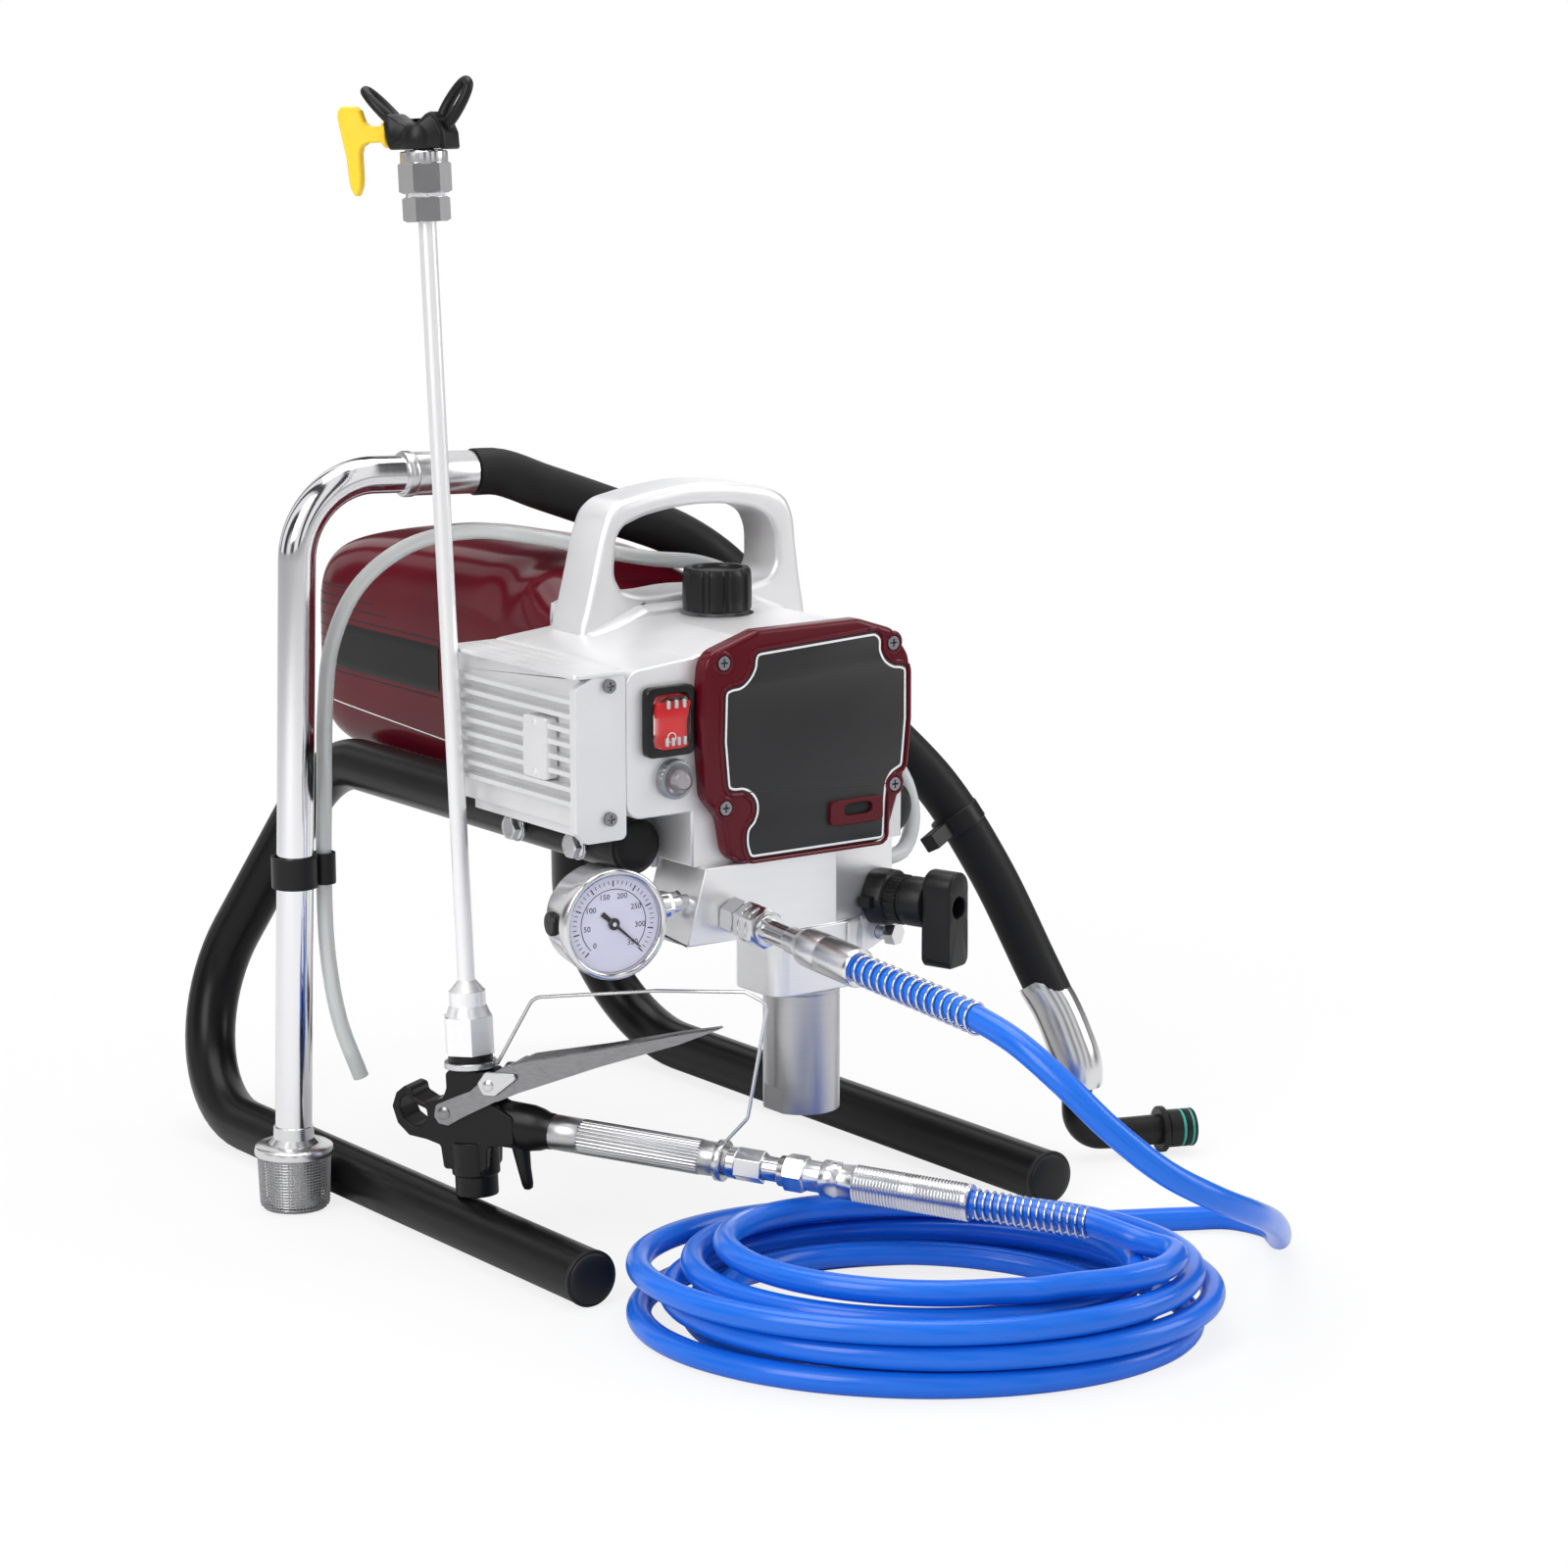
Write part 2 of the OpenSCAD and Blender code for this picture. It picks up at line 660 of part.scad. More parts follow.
module control_box() {
    inner = housing_left + clear;
    color([0.72, 0.72, 0.74]) at_machine() difference() {
        union() {
            // Front wall, flush with the fins' tips, and the body behind it
            through_y(housing_front, 34)
                polygon(rounded([[-fin_tip, 262], [-fin_tip, box_top - 6], [-140, box_top],
                    [-inner, box_top], [-inner, box_floor], [-146, box_floor]], 4));
            through_y(33.9, box_back)
                polygon([[-box_wall, 262], [-box_wall, box_top - 2], [-inner, box_top - 2],
                    [-inner, 262]]);
            for (k = [0:7]) translate([-fin_tip + 1, 33.9, 306 + (k - 3.5) * fin_pitch - fin_t / 2])
                cube([fin_h, box_back - 33.9, fin_t]);
            for (x = [-146, -137, -128]) translate([x, 70, box_top - 3]) cube([2.5, 90, 5]);
            for (x = [-142, -132]) translate([x, 40, box_floor + 1]) cube([2.5, 110, 8]);
        }
        through_y(37, box_back - 3)
            polygon([[3 - box_wall, 265], [3 - box_wall, box_top - 5], [-inner + 1, box_top - 5],
                [-inner + 1, 265]]);
        for (s = box_screws)
            bore_y(s[0], s[1], housing_front - 1, housing_front + screw_len + 1, screw_r + 0.1);
    }
}

module circuit_board() {
    color([0.1, 0.35, 0.18]) at_machine() {
        translate([3 - box_wall + clear, 45, 272]) cube([2, 105, 66]);
        for (y = [60, 85]) translate([5 - box_wall + clear, y, 285]) cube([10, 16, 30]);
        translate([5 - box_wall + clear, 115, 305]) cube([8, 24, 20]);
    }
}

// ---- Switch, breaker and knob -----------------------------------------------------------

switch_at = [-92, 319.5];
rocker_w = 22;
rocker_h = 26;
rocker_pin_y = 27;
rocker_tilt = 8;

module switch_bezel() {
    color([0.05, 0.05, 0.05]) at_machine() difference() {
        union() {
            through_y(housing_front - 5, housing_front) translate(switch_at)
                square([switch_w, switch_h], center = true);
            through_y(housing_front - 0.1, 52) translate(switch_at)
                square([switch_w - 4.6, switch_h - 5.6], center = true);
        }
        through_y(housing_front - 6, 48) translate(switch_at)
            square([rocker_w + 2 * clear + 1, rocker_h + 4], center = true);
        bore_x(rocker_pin_y + 6, switch_at[1], switch_at[0] - 13.5, switch_at[0] + 13.5,
            1.5 + running);
    }
}

module switch_rocker() {
    color([0.8, 0.08, 0.06]) at_machine()
        translate([switch_at[0], rocker_pin_y + 6, switch_at[1]]) rotate([rocker_tilt, 0, 0]) {
            through_x(-rocker_w / 2, rocker_w / 2) polygon([[6, -5], [6, 5],
                [-6.5, rocker_h / 2], [-10.5, rocker_h / 2], [-8, 0], [-10.5, -rocker_h / 2],
                [-6.5, -rocker_h / 2]]);
            translate([-13, 0, 0]) rotate([0, 90, 0]) cylinder(h = 26, r = 1.5);
        }
}

breaker_at = [-88, 286];
button_r = 4.5;

module breaker_body() {
    color([0.55, 0.55, 0.57]) at_machine() translate([breaker_at[0], housing_front, breaker_at[1]])
        rotate([90, 0, 0]) difference() {
            union() {
                translate([0, 0, clear]) cylinder(h = 4, r = breaker_r);
                translate([0, 0, clear]) hex(7, 17);
                translate([0, 0, -26]) cylinder(h = 27, r = 7.4);
            }
            translate([0, 0, -22]) cylinder(h = 40, r = button_r + running);
        }
}

module breaker_button() {
    color([0.85, 0.85, 0.86]) at_machine()
        translate([breaker_at[0], housing_front, breaker_at[1]]) rotate([90, 0, 0])
            translate([0, 0, -18]) cylinder(h = 32, r = button_r);
}

neck_r = 8;

module knob_bushing() {
    color("silver") at_machine() translate([0, knob_y, 0]) difference() {
        union() {
            translate([0, 0, 330]) cylinder(h = 21.1, r = 8.8);
            translate([0, 0, 351]) cylinder(h = 6, r = 13);
            translate([0, 0, 351]) cylinder(h = 16, r = neck_r);
        }
        translate([0, 0, 340]) cylinder(h = 40, r = 3 + running);
    }
}

module pressure_knob() {
    seat = 360;
    color([0.07, 0.07, 0.07]) at_machine() translate([0, knob_y, 0]) difference() {
        union() {
            translate([0, 0, seat]) cylinder(h = knob_h - 2, r = knob_r);
            translate([0, 0, seat + knob_h - 2]) cylinder(h = 2, r1 = knob_r, r2 = knob_r - 2.5, $fn = 64);
        }
        translate([0, 0, seat - 1]) cylinder(h = 9, r = neck_r + clear);
        for (a = [0:15:345]) rotate([0, 0, a]) translate([knob_r + 1, 0, seat + 3])
            cylinder(h = knob_h, r = 2, $fn = 16);
    }
    color("silver") at_machine() translate([0, knob_y, 342]) cylinder(h = 28, r = 3);
}

// ---- Motor and cover --------------------------------------------------------------------

// Front outline of the motor cover, grown by g: a round top on upright sides
function cover_shape(g) = concat(
    rounded([[-motor_cover_half - g, 312], [-72 - g, 276], [-54 - g, motor_cover_floor - g],
        [54 + g, motor_cover_floor - g], [72 + g, 276], [motor_cover_half + g, 312],
        [motor_cover_half - 3 + g, 330]], 10),
    [for (q = arc(motor_cover_r + g, 22, 158, 24)) [q.x, q.y + motor_z]],
    [[-motor_cover_half + 3 - g, 330]]);
// Side outline: rising behind the handle, then falling to a rounded back
function cover_side(g) = let (top = motor_z + motor_cover_r, front = housing_back + clear
    - (g < 0 ? 5 : 0))
    rounded([[front, 250], [front, motor_cover_dip + g], [housing_back + 34, top - 2 + g],
        [262, top + g], [395, top - 12 + g], [motor_cover_back - 4 + g, 352],
        [motor_cover_back + g, 318], [motor_cover_back - 10 + g, 280],
        [410, motor_cover_floor - g], [262, 250]], 10);
// Plan outline with a rounded back
function cover_plan(g) = rounded([[-90, housing_back - 10], [-90, 330],
    [-motor_cover_half - g, 330], [-motor_cover_half - g + 4, 400],
    [-44, motor_cover_back + g], [44, motor_cover_back + g],
    [motor_cover_half + g - 4, 400], [motor_cover_half + g, 330], [90, 330],
    [90, housing_back - 10]], 24);

module cover_mass(g) {
    intersection() {
        through_y(housing_back + clear - (g < 0 ? 1 : 0), 460) polygon(cover_shape(g));
        through_x(-90, 90) polygon(cover_side(g));
        translate([0, 0, 240]) linear_extrude(170) polygon(cover_plan(g));
    }
}

module motor_cover() {
    color([0.42, 0.05, 0.09]) at_machine() difference() {
        cover_mass(0);
        cover_mass(-shell_wall);
        for (k = [0:5]) translate([-50, motor_cover_back - 30, 290 + 9 * k]) cube([100, 60, 4]);
    }
}

module motor_can() {
    back = can_front + motor_len;
    color([0.5, 0.5, 0.52]) at_machine() difference() {
        bore_y(0, motor_z, can_front + clear, back, motor_r);
        bore_y(0, motor_z, can_front + 7, back - 6, motor_r - can_wall);
        bore_y(0, motor_z, can_front - 1, can_front + 9, pinion_shaft_r + running);
        bore_y(0, motor_z, back - 9, back + 1, pinion_shaft_r + running);
    }
    // Two feet that carry the can on the housing's back face
    color([0.5, 0.5, 0.52]) at_machine() for (side = [-1, 1])
        translate([side * (motor_r + 6) - 8, housing_back, motor_z - 6]) cube([16, 4, 12]);
}

module motor_rotor() {
    color([0.6, 0.35, 0.2]) at_machine() {
        bore_y(0, motor_z, can_front + 14, can_front + motor_len - 30, motor_r - can_wall - 5);
        bore_y(0, motor_z, can_front + motor_len - 26, can_front + motor_len - 12, 14);
        bore_y(0, motor_z, gear_front - 1, motor_shaft_back, pinion_shaft_r);
    }
}

module motor_fan() {
    start = can_front + motor_len + 8;
    color([0.15, 0.15, 0.16]) at_machine() difference() {
        union() {
            bore_y(0, motor_z, start, start + 3, fan_r);
            bore_y(0, motor_z, start, start + 14, 9);
            for (a = [0:45:315]) translate([0, start, motor_z]) rotate([0, a, 0])
                translate([8, 2.9, -1]) cube([fan_r - 8, 10, 2]);
        }
        bore_y(0, motor_z, start - 1, start + 20, pinion_shaft_r + 0.02);
    }
}

// Points on one flank of an involute tooth, as [radius, angle] pairs
function flank_roll(base, r) = let (q = sqrt(max(0, pow(r / base, 2) - 1))) q * 180 / PI - atan(q);
function tooth(teeth, m, slack, n = 5) =
    let (pitch = teeth * m / 2, base = pitch * cos(gear_pressure), tip = pitch + m,
         root = pitch - 1.25 * m, low = max(base, root + 0.05),
         half = 90 / teeth - slack / 2 / pitch * 180 / PI + flank_roll(base, pitch),
         foot = half - flank_roll(base, low) + 0.15,
         rs = [for (k = [0:n]) low + (tip - low) * k / n])
    concat([[root, -foot]], [for (r = rs) [r, -(half - flank_roll(base, r))]],
        [for (k = [0:n]) [rs[n - k], half - flank_roll(base, rs[n - k])]], [[root, foot]]);

module gear_shape(teeth, m, slack, phase) {
    t = tooth(teeth, m, slack);
    polygon([for (i = [0:teeth - 1]) for (q = t)
        let (a = phase + q[1] + 360 * i / teeth) q[0] * [cos(a), sin(a)]]);
}

// The line from the crank's axis to the motor's, and the phases that put the pair in mesh
mesh_deg = atan2(motor_z - crank_z, -pump_x);

module drive_gear() {
    color([0.62, 0.6, 0.55]) at_machine() difference() {
        through_y(gear_front, gear_front + gear_w) translate([pump_x, crank_z])
            gear_shape(gear_teeth, gear_module, gear_slack, mesh_deg);
        bore_y(pump_x, crank_z, gear_front - 1, gear_front + gear_w + 1, crank_shaft_r + 0.02);
        for (a = [0:60:300]) translate([pump_x, 0, crank_z]) rotate([0, a, 0])
            translate([20, 0, 0]) bore_y(0, 0, gear_front - 1, gear_front + gear_w + 1, 5);
    }
}

module pinion_gear() {
    color([0.65, 0.65, 0.66]) at_machine() difference() {
        through_y(gear_front, gear_front + gear_w) translate([0, motor_z])
            gear_shape(pinion_teeth, gear_module, gear_slack, mesh_deg + 180 + 180 / pinion_teeth);
        bore_y(0, motor_z, gear_front - 2, gear_front + gear_w + 1, pinion_shaft_r + 0.02);
    }
}

module crankshaft() {
    color([0.68, 0.68, 0.7]) at_machine() {
        bore_y(pump_x, crank_z, crank_disc_front + crank_disc_t - 0.1, gear_cavity[1] + 7,
            crank_shaft_r);
        bore_y(pump_x, crank_z, crank_disc_front, crank_disc_front + crank_disc_t, crank_disc_r);
        bore_y(pump_x + crank_throw, crank_z, pump_y - 7, crank_disc_front + 0.1, pin_r);
    }
}

module piston_rod() {
    out_w = yoke_half_w + yoke_wall;
    out_h = yoke_half_h + yoke_wall;
    color([0.75, 0.75, 0.77]) at_machine() {
        through_y(pump_y - yoke_t / 2, pump_y + yoke_t / 2) translate([pump_x, crank_z])
            difference() {
                square([2 * out_w, 2 * out_h], center = true);
                square([2 * yoke_half_w, 2 * yoke_half_h], center = true);
            }
        translate([pump_x, pump_y, piston_z]) cylinder(h = piston_h, r = piston_r);
        translate([pump_x, pump_y, piston_z + piston_h - 0.1])
            cylinder(h = crank_z - out_h - piston_z - piston_h + 0.2, r = rod_r);
    }
}

// ---- Manifold and pump ------------------------------------------------------------------

facet_right = [77, manifold_front + (77 - facet_start) * tan(facet_turn)];

module fluid_manifold() {
    plan = [[-83, manifold_front], [facet_start, manifold_front], facet_right,
        [77, manifold_back], [-83, manifold_back]];
    block_r = 10.6;
    block = [[-22, manifold_front - 1], [pump_x + 16, manifold_front - 1],
        [52, 33], [52, manifold_back - 2], [-22, manifold_back - 2]];
    color([0.66, 0.66, 0.68]) at_machine() difference() {
        union() {
            intersection() {
                translate([0, 0, manifold_floor]) linear_extrude(manifold_top - manifold_floor)
                    polygon(rounded(plan, 2));
                through_y(0, 100) polygon([[-83, manifold_floor], [-70, manifold_top],
                    [80, manifold_top], [80, manifold_floor]]);
            }
            translate([0, 0, pump_top]) linear_extrude(manifold_floor - pump_top + 0.1)
                polygon(rounded(block, block_r));
            through_y(manifold_front + 17, manifold_back) polygon([[48, 160], [77, 172],
                [77, manifold_floor + 1], [48, manifold_floor + 1]]);
            bore_y(-12, 207, manifold_front - 3, manifold_front + 1, 9);
        }
        translate([pump_x, pump_y, pump_top - 1])
            cylinder(h = manifold_top - pump_top + 2, r = rod_r + running);
        // Threaded ports of the outlet, the valve, the drain and the gauge
        translate(outlet_at) rotate([90 + outlet_droop, 0, 0]) translate([0, 0, -14])
            cylinder(h = 20, r = 6.1);
        translate(valve_at) rotate([90, 0, facet_turn]) translate([0, 0, -12])
            cylinder(h = 20, r = 8.1);
        translate(drain_at) rotate([90, 0, facet_turn]) translate([0, 0, -10])
            cylinder(h = 20, r = 4.1);
        bore_x(gauge_stem_y + 10, gauge_stem_z, -90, -62, 5.1);
        bore_x(62, 212, 66, 90, 3.1);
    }
}

module pump_cylinder() {
    color([0.62, 0.62, 0.64]) at_machine() translate([pump_x, pump_y, 0]) difference() {
        translate([0, 0, pump_foot]) cylinder(h = pump_top - pump_foot, r = pump_r);
        translate([0, 0, pump_foot - 1]) cylinder(h = socket_len + 1, r = socket_r);
        translate([0, 0, pump_foot]) cylinder(h = 40, r = ball_seat_r);
        translate([0, 0, ball_seat_z + ball_seat_t]) cylinder(h = 14.1, r = cage_r);
        translate([0, 0, ball_seat_z + ball_seat_t + 14]) cylinder(h = 60, r = piston_bore);
        for (s = [-1, 1]) translate([s * (pump_r - 2) - (s < 0 ? 4 : 0), -30, pump_foot - 1])
            cube([4, 60, 16]);
    }
}

module inlet_ball() {
    color("silver") at_machine() translate([pump_x, pump_y, ball_z]) sphere(r = ball_r);
}

// ---- Gauge ------------------------------------------------------------------------------

// Places children with their Z out of the gauge's face, Z = 0 at the lens's front
module at_gauge() {
    at_machine() translate(gauge_at) rotate([90, 0, -gauge_turn]) children();
}

module gauge_case() {
    color([0.8, 0.8, 0.82]) {
        at_gauge() difference() {
            union() {
                translate([0, 0, -gauge_depth]) cylinder(h = gauge_depth - 5, r = gauge_r - 1.5);
                translate([0, 0, -8]) cylinder(h = 8, r = gauge_r);
            }
            translate([0, 0, -gauge_depth + gauge_wall]) cylinder(h = gauge_depth, r = gauge_r - 4);
            translate([0, 0, -20]) rotate([0, -90, 0]) cylinder(h = gauge_r + 5, r = 3);
        }
        at_gauge() translate([-gauge_r + 1.6, 0, -20]) rotate([0, -90, 0]) cylinder(h = 4, r = 5);
        // Stem from the case's right side into the manifold's end
        at_gauge() translate([gauge_r - 2.5, 0, -20]) rotate([0, 90, 0]) cylinder(h = 8, r = 7.5);
        at_machine() bore_x(gauge_stem_y + 10 - 9, gauge_stem_z, -105, -80, 7.5);
        at_machine() bore_x(gauge_stem_y + 10, gauge_stem_z, -84.6, -66, 5);
    }
}

module gauge_dial() {
    color([0.86, 0.85, 0.92]) at_gauge() translate([0, 0, -dial_depth - 1.4]) difference() {
        cylinder(h = 1.2, r = gauge_r - 4 - 0.1);
        translate([0, 0, -1]) cylinder(h = 4, r = needle_pivot_r + running);
    }
}

module gauge_needle() {
    color([0.05, 0.05, 0.05]) at_gauge() {
        translate([0, 0, -dial_depth - 4]) cylinder(h = 6, r = needle_pivot_r);
        translate([0, 0, -dial_depth + 0.4]) cylinder(h = 1.2, r = 3);
        rotate([0, 0, -42]) translate([0, 0, -dial_depth + 0.6]) linear_extrude(0.7)
            polygon([[-7, -1.2], [needle_len, -0.3], [needle_len, 0.3], [-7, 1.2]]);
    }
}

module gauge_lens() {
    color([0.8, 0.85, 0.9, 0.35]) at_gauge() translate([0, 0, -2]) cylinder(h = 1.5, r = gauge_r - 4.1);
}

// ---- Prime valve and drain --------------------------------------------------------------

module at_valve() {
    at_machine() translate(valve_at) rotate([90, 0, facet_turn]) children();
}

module prime_valve_body() {
    color([0.08, 0.08, 0.08]) at_valve() difference() {
        union() {
            translate([0, 0, -10]) cylinder(h = 11, r = 8);
            translate([0, 0, clear]) cylinder(h = valve_cap_h - clear, r = valve_cap_r);
            translate([0, 0, clear]) cylinder(h = valve_len - clear, r = lever_hub_r - 1);
        }
        translate([0, 0, 6]) cylinder(h = 40, r = 5 + running);
    }
}

// Hub and hanging paddle; the paddle's hole lies on the valve's axis
module prime_lever() {
    stem = valve_len + clear;
    front = 58;
    above = 20.5;
    color([0.06, 0.06, 0.06]) at_valve() difference() {
        union() {
            translate([0, 0, 8]) cylinder(h = stem - 7, r = 5);
            translate([0, 0, stem]) cylinder(h = lever_hub_h, r = lever_hub_r);
            translate([0, 0, stem + lever_hub_h - 1])
                linear_extrude(front - stem - lever_hub_h + 1)
                    polygon(rounded([[-lever_w / 2, above - lever_h], [lever_w / 2, above - lever_h],
                        [lever_w / 2, above], [-lever_w / 2, above]], 7));
        }
        translate([0, 0, front - 11]) cylinder(h = 12, r = 6.5);
    }
}

module drain_fitting() {
    color("silver") {
        at_machine() translate(drain_at) rotate([90, 0, facet_turn]) {
            translate([0, 0, -8]) cylinder(h = 12, r = 4);
            translate([0, 0, clear + 1]) hex(7, 12);
        }
        // Barb for the return tube, on the manifold's right end
        at_machine() bore_x(62, 212, 68, 78, 3);
        at_machine() bore_x(62, 212, 77.3, 83, 5.5);
    }
}

// ---- Outlet and hose fittings -----------------------------------------------------------

module outlet_fitting() {
    color("silver") along_outlet() difference() {
        union() {
            translate([0, 0, -12]) cylinder(h = 14, r = 6);
            translate([0, 0, 1.5]) hex(12, 19);
            translate([0, 0, 13]) cylinder(h = 14, r = 7.5);
            translate([0, 0, 26]) hex(16, 17);
            translate([0, 0, 42]) cylinder(h = 14 - clear, r = 6.5);
        }
        translate([0, 0, -13]) cylinder(h = 80, r = 3);
    }
}

// Ferrule pressed on a hose: collar, ribbed sleeve; Z = 0 at the collar's face
module ferrule(len) {
    difference() {
        union() {
            cylinder(h = 10, r = 10.5);
            translate([0, 0, 9.9]) cylinder(h = len - 9.9, r = 10);
            for (k = [0:6]) translate([0, 0, 18 + k * (len - 24) / 7]) cylinder(h = 2.4, r = 11);
        }
        translate([0, 0, -1]) cylinder(h = len + 2, r = 3);
    }
}

module hose_swivel_machine() {
    color("silver") along_outlet() translate([0, 0, swivel_start]) ferrule(spring_start - swivel_start);
}

function helix(z0, z1, loops, r) = let (n = loops * 8)
    [for (k = [0:n]) [r * cos(45 * k), r * sin(45 * k), z0 + (z1 - z0) * k / n]];

module bend_spring(z0, z1) {
    swept(helix(z0 + spring_wire, z1 - spring_wire, spring_curls, spring_r), spring_wire / 2, 6);
}

module hose_spring_machine() {
    color("silver") along_outlet() bend_spring(spring_start, spring_end);
}

outlet_dir = [0, -cos(outlet_droop), -sin(outlet_droop)];

function coil_e(u, v) = [coil_at.x + u * coil_axis.x - v * coil_axis.y,
    coil_at.y + u * coil_axis.y + v * coil_axis.x];
// Loops wound so far in the spiral's sense: in, out, in and out again
function coil_wave(q) = let (m = q % (2 * coil_layer_loops))
    m < coil_layer_loops ? m : 2 * coil_layer_loops - m;
function coil_climb(q) = let (k = round(q / coil_layer_loops), d = q - k * coil_layer_loops)
    k < 1 ? 0 : abs(d) > 0.25 ? (d > 0 ? k : k - 1) : k - 0.5 + 2 * d;
function coil_point(q) = let (w = coil_wave(q), t = coil_start_deg + 360 * q,
    xy = coil_e((coil_long - coil_step_long * w) * cos(t), (coil_short - coil_step_short * w) * sin(t)))
    [xy.x, xy.y, coil_floor + coil_pitch * coil_climb(q)];
coil_points = [for (k = [0:coil_loops * coil_rings]) coil_point(k / coil_rings)];
// Least gap of the coil's tube to itself, past one loop's neighbours
coil_gap = min([for (i = [0:len(coil_points) - 1]) for (j = [i + 12:1:len(coil_points) - 1])
    norm(coil_points[i] - coil_points[j])]) - hose_d;
echo(coil_gap = coil_gap);

run_start = outlet_at + outlet_dir * spring_start;
run_route = concat([run_start, outlet_at + outlet_dir * (spring_start + spring_end) / 2,
    outlet_at + outlet_dir * spring_end], run_points,
    [coil_points[0] - unit(coil_points[1] - coil_points[0]) * hose_d, coil_points[0]]);

module hose_run() {
    color([0.05, 0.35, 0.85]) at_machine() swept(run_route, hose_r, 8);
}

module hose_coil() {
    color([0.05, 0.35, 0.85]) at_machine() swept(coil_points, hose_r, 6);
}

// A point of the gun's own frame, given in the machine's
function gun_point(p) = let (c = cos(gun_yaw), s = sin(gun_yaw), x = c * p.x + s * p.y,
    y = -s * p.x + c * p.y, cl = cos(pole_lean), sl = sin(pole_lean))
    gun_at + [x, cl * y + sl * p.z, -sl * y + cl * p.z];
function grip_point(s) = gun_point([s * cos(grip_rake), 0, grip_zero - s * sin(grip_rake)]);

lead_route = concat([last(coil_points), last(coil_points)
    + unit(last(coil_points) - coil_points[len(coil_points) - 2]) * hose_d], lead_points,
    [grip_point(gun_spring_end), grip_point(gun_ferrule_end)]);

module hose_lead() {
    color([0.05, 0.35, 0.85]) at_machine() swept(lead_route, hose_r, 8);
}

module hose_spring_gun() {
    color("silver") along_grip() bend_spring(gun_ferrule_end, gun_spring_end);
}

module hose_swivel_gun() {
    color("silver") along_grip() {
        translate([0, 0, hose_fit_start]) ring(26, 8.8, 3);
        translate([0, 0, hose_fit_start + 4]) difference() {
            hex(12, 19);
            translate([0, 0, -1]) cylinder(h = 20, r = 3);
        }
        translate([0, 0, hose_fit_start + 26]) ferrule(gun_ferrule_end - hose_fit_start - 26);
    }
}

// ---- Spray gun --------------------------------------------------------------------------

body_outline = [[-15.5, -28], [12, -28], [13, -14], [30, -12], [30, 4], [15.5, 12],
    [15.5, 30], [-11.5, 30], [-11.5, 20], [-14, 14], [-20, 12], [-26, 10.5], [-33, 14.5],
    [-33.5, 19], [-38, 20.5], [-44, 16], [-47, 8], [-44, -2], [-37, -9], [-26, -11],
    [-17, -14]];
hook_room = [[-30, 9], [-33, 10.5], [-36, 13.5], [-38, 15.5], [-41, 12.5], [-42, 7], [-39.5, 1],
    [-34, -3], [-28, -3], [-24.5, 3], [-25, 7]];
trigger_pivot = [-12.5, 5.6];
lock_pivot = [18, 23.5];
arm_t = 2.2;
arm_in = gun_t / 2 + clear;
pivot_r = 3;
pin_proud = 1.5;

// Extrudes a gun outline drawn in u and w across the gun's thickness, from v0 to v1
module through_gun(v0, v1) {
    translate([0, v1, 0]) rotate([90, 0, 0]) linear_extrude(v1 - v0) children();
}

module gun_pin(at, v0, v1, r) {
    translate([at[0], v1, at[1]]) rotate([90, 0, 0]) cylinder(h = v1 - v0, r = r);
}

module gun_body() {
    color([0.08, 0.08, 0.09]) at_gun() difference() {
        union() {
            through_gun(-gun_t / 2, gun_t / 2) difference() {
                polygon(rounded(body_outline, 2.5, 4));
                polygon(rounded(hook_room, 1.5, 4));
            }
            translate([0, 0, -32]) cylinder(h = 20, r = 14);
            translate([0, 0, -44.5]) cylinder(h = 12.6, r = 12.5);
            translate([0, 0, 29.9]) cylinder(h = 9.1, r = 13);
        }
        // Needle's way, the pole's thread and the grip's spigot hole
        translate([0, 0, -30]) cylinder(h = 80, r = 3.1);
        translate([0, 0, 26]) cylinder(h = 20, r = 8.1);
        translate([0, 0, grip_zero]) rotate([0, 90 + grip_rake, 0]) translate([0, 0, 12])
            cylinder(h = 40, r = 8.1);
        gun_pin(trigger_pivot, -30, 30, pivot_r + running);
        gun_pin(lock_pivot, -30, 30, pivot_r + running);
    }
}

module gun_handle() {
    flutes = 16;
    color([0.8, 0.8, 0.82]) along_grip() difference() {
        union() {
            translate([0, 0, 13]) cylinder(h = 19, r = 8);
            translate([0, 0, 31.9]) cylinder(h = grip_end - 31.9, r = grip_d / 2);
        }
        translate([0, 0, 12]) cylinder(h = 200, r = 5);
        for (a = [0:flutes - 1]) rotate([0, 0, a * 360 / flutes])
            translate([grip_d / 2 + 0.9, 0, 44]) cylinder(h = grip_end - 44 - 16, r = 1.6, $fn = 12);
    }
}

module gun_swivel() {
    color("silver") along_grip() difference() {
        union() {
            translate([0, 0, grip_end - 15]) cylinder(h = 20, r = 5 - running);
            translate([0, 0, grip_end + clear]) cylinder(h = 5, r = 9.2);
            translate([0, 0, grip_end + clear + 5]) hex(16, 17);
            translate([0, 0, grip_end + clear + 21]) cylinder(h = hose_fit_start - grip_end - 21.9 + 0.3, r = 7);
        }
        translate([0, 0, grip_end - 20]) cylinder(h = 80, r = 3);
    }
}

trigger_side = [[-18, 1], [-17, 9], [-8, 12], [12, 16], [30, 21], [60, 33], [152, 66],
    [160, 63], [159, 57], [60, 21], [30, 9], [14, 3], [-6, -1], [-14, -2]];

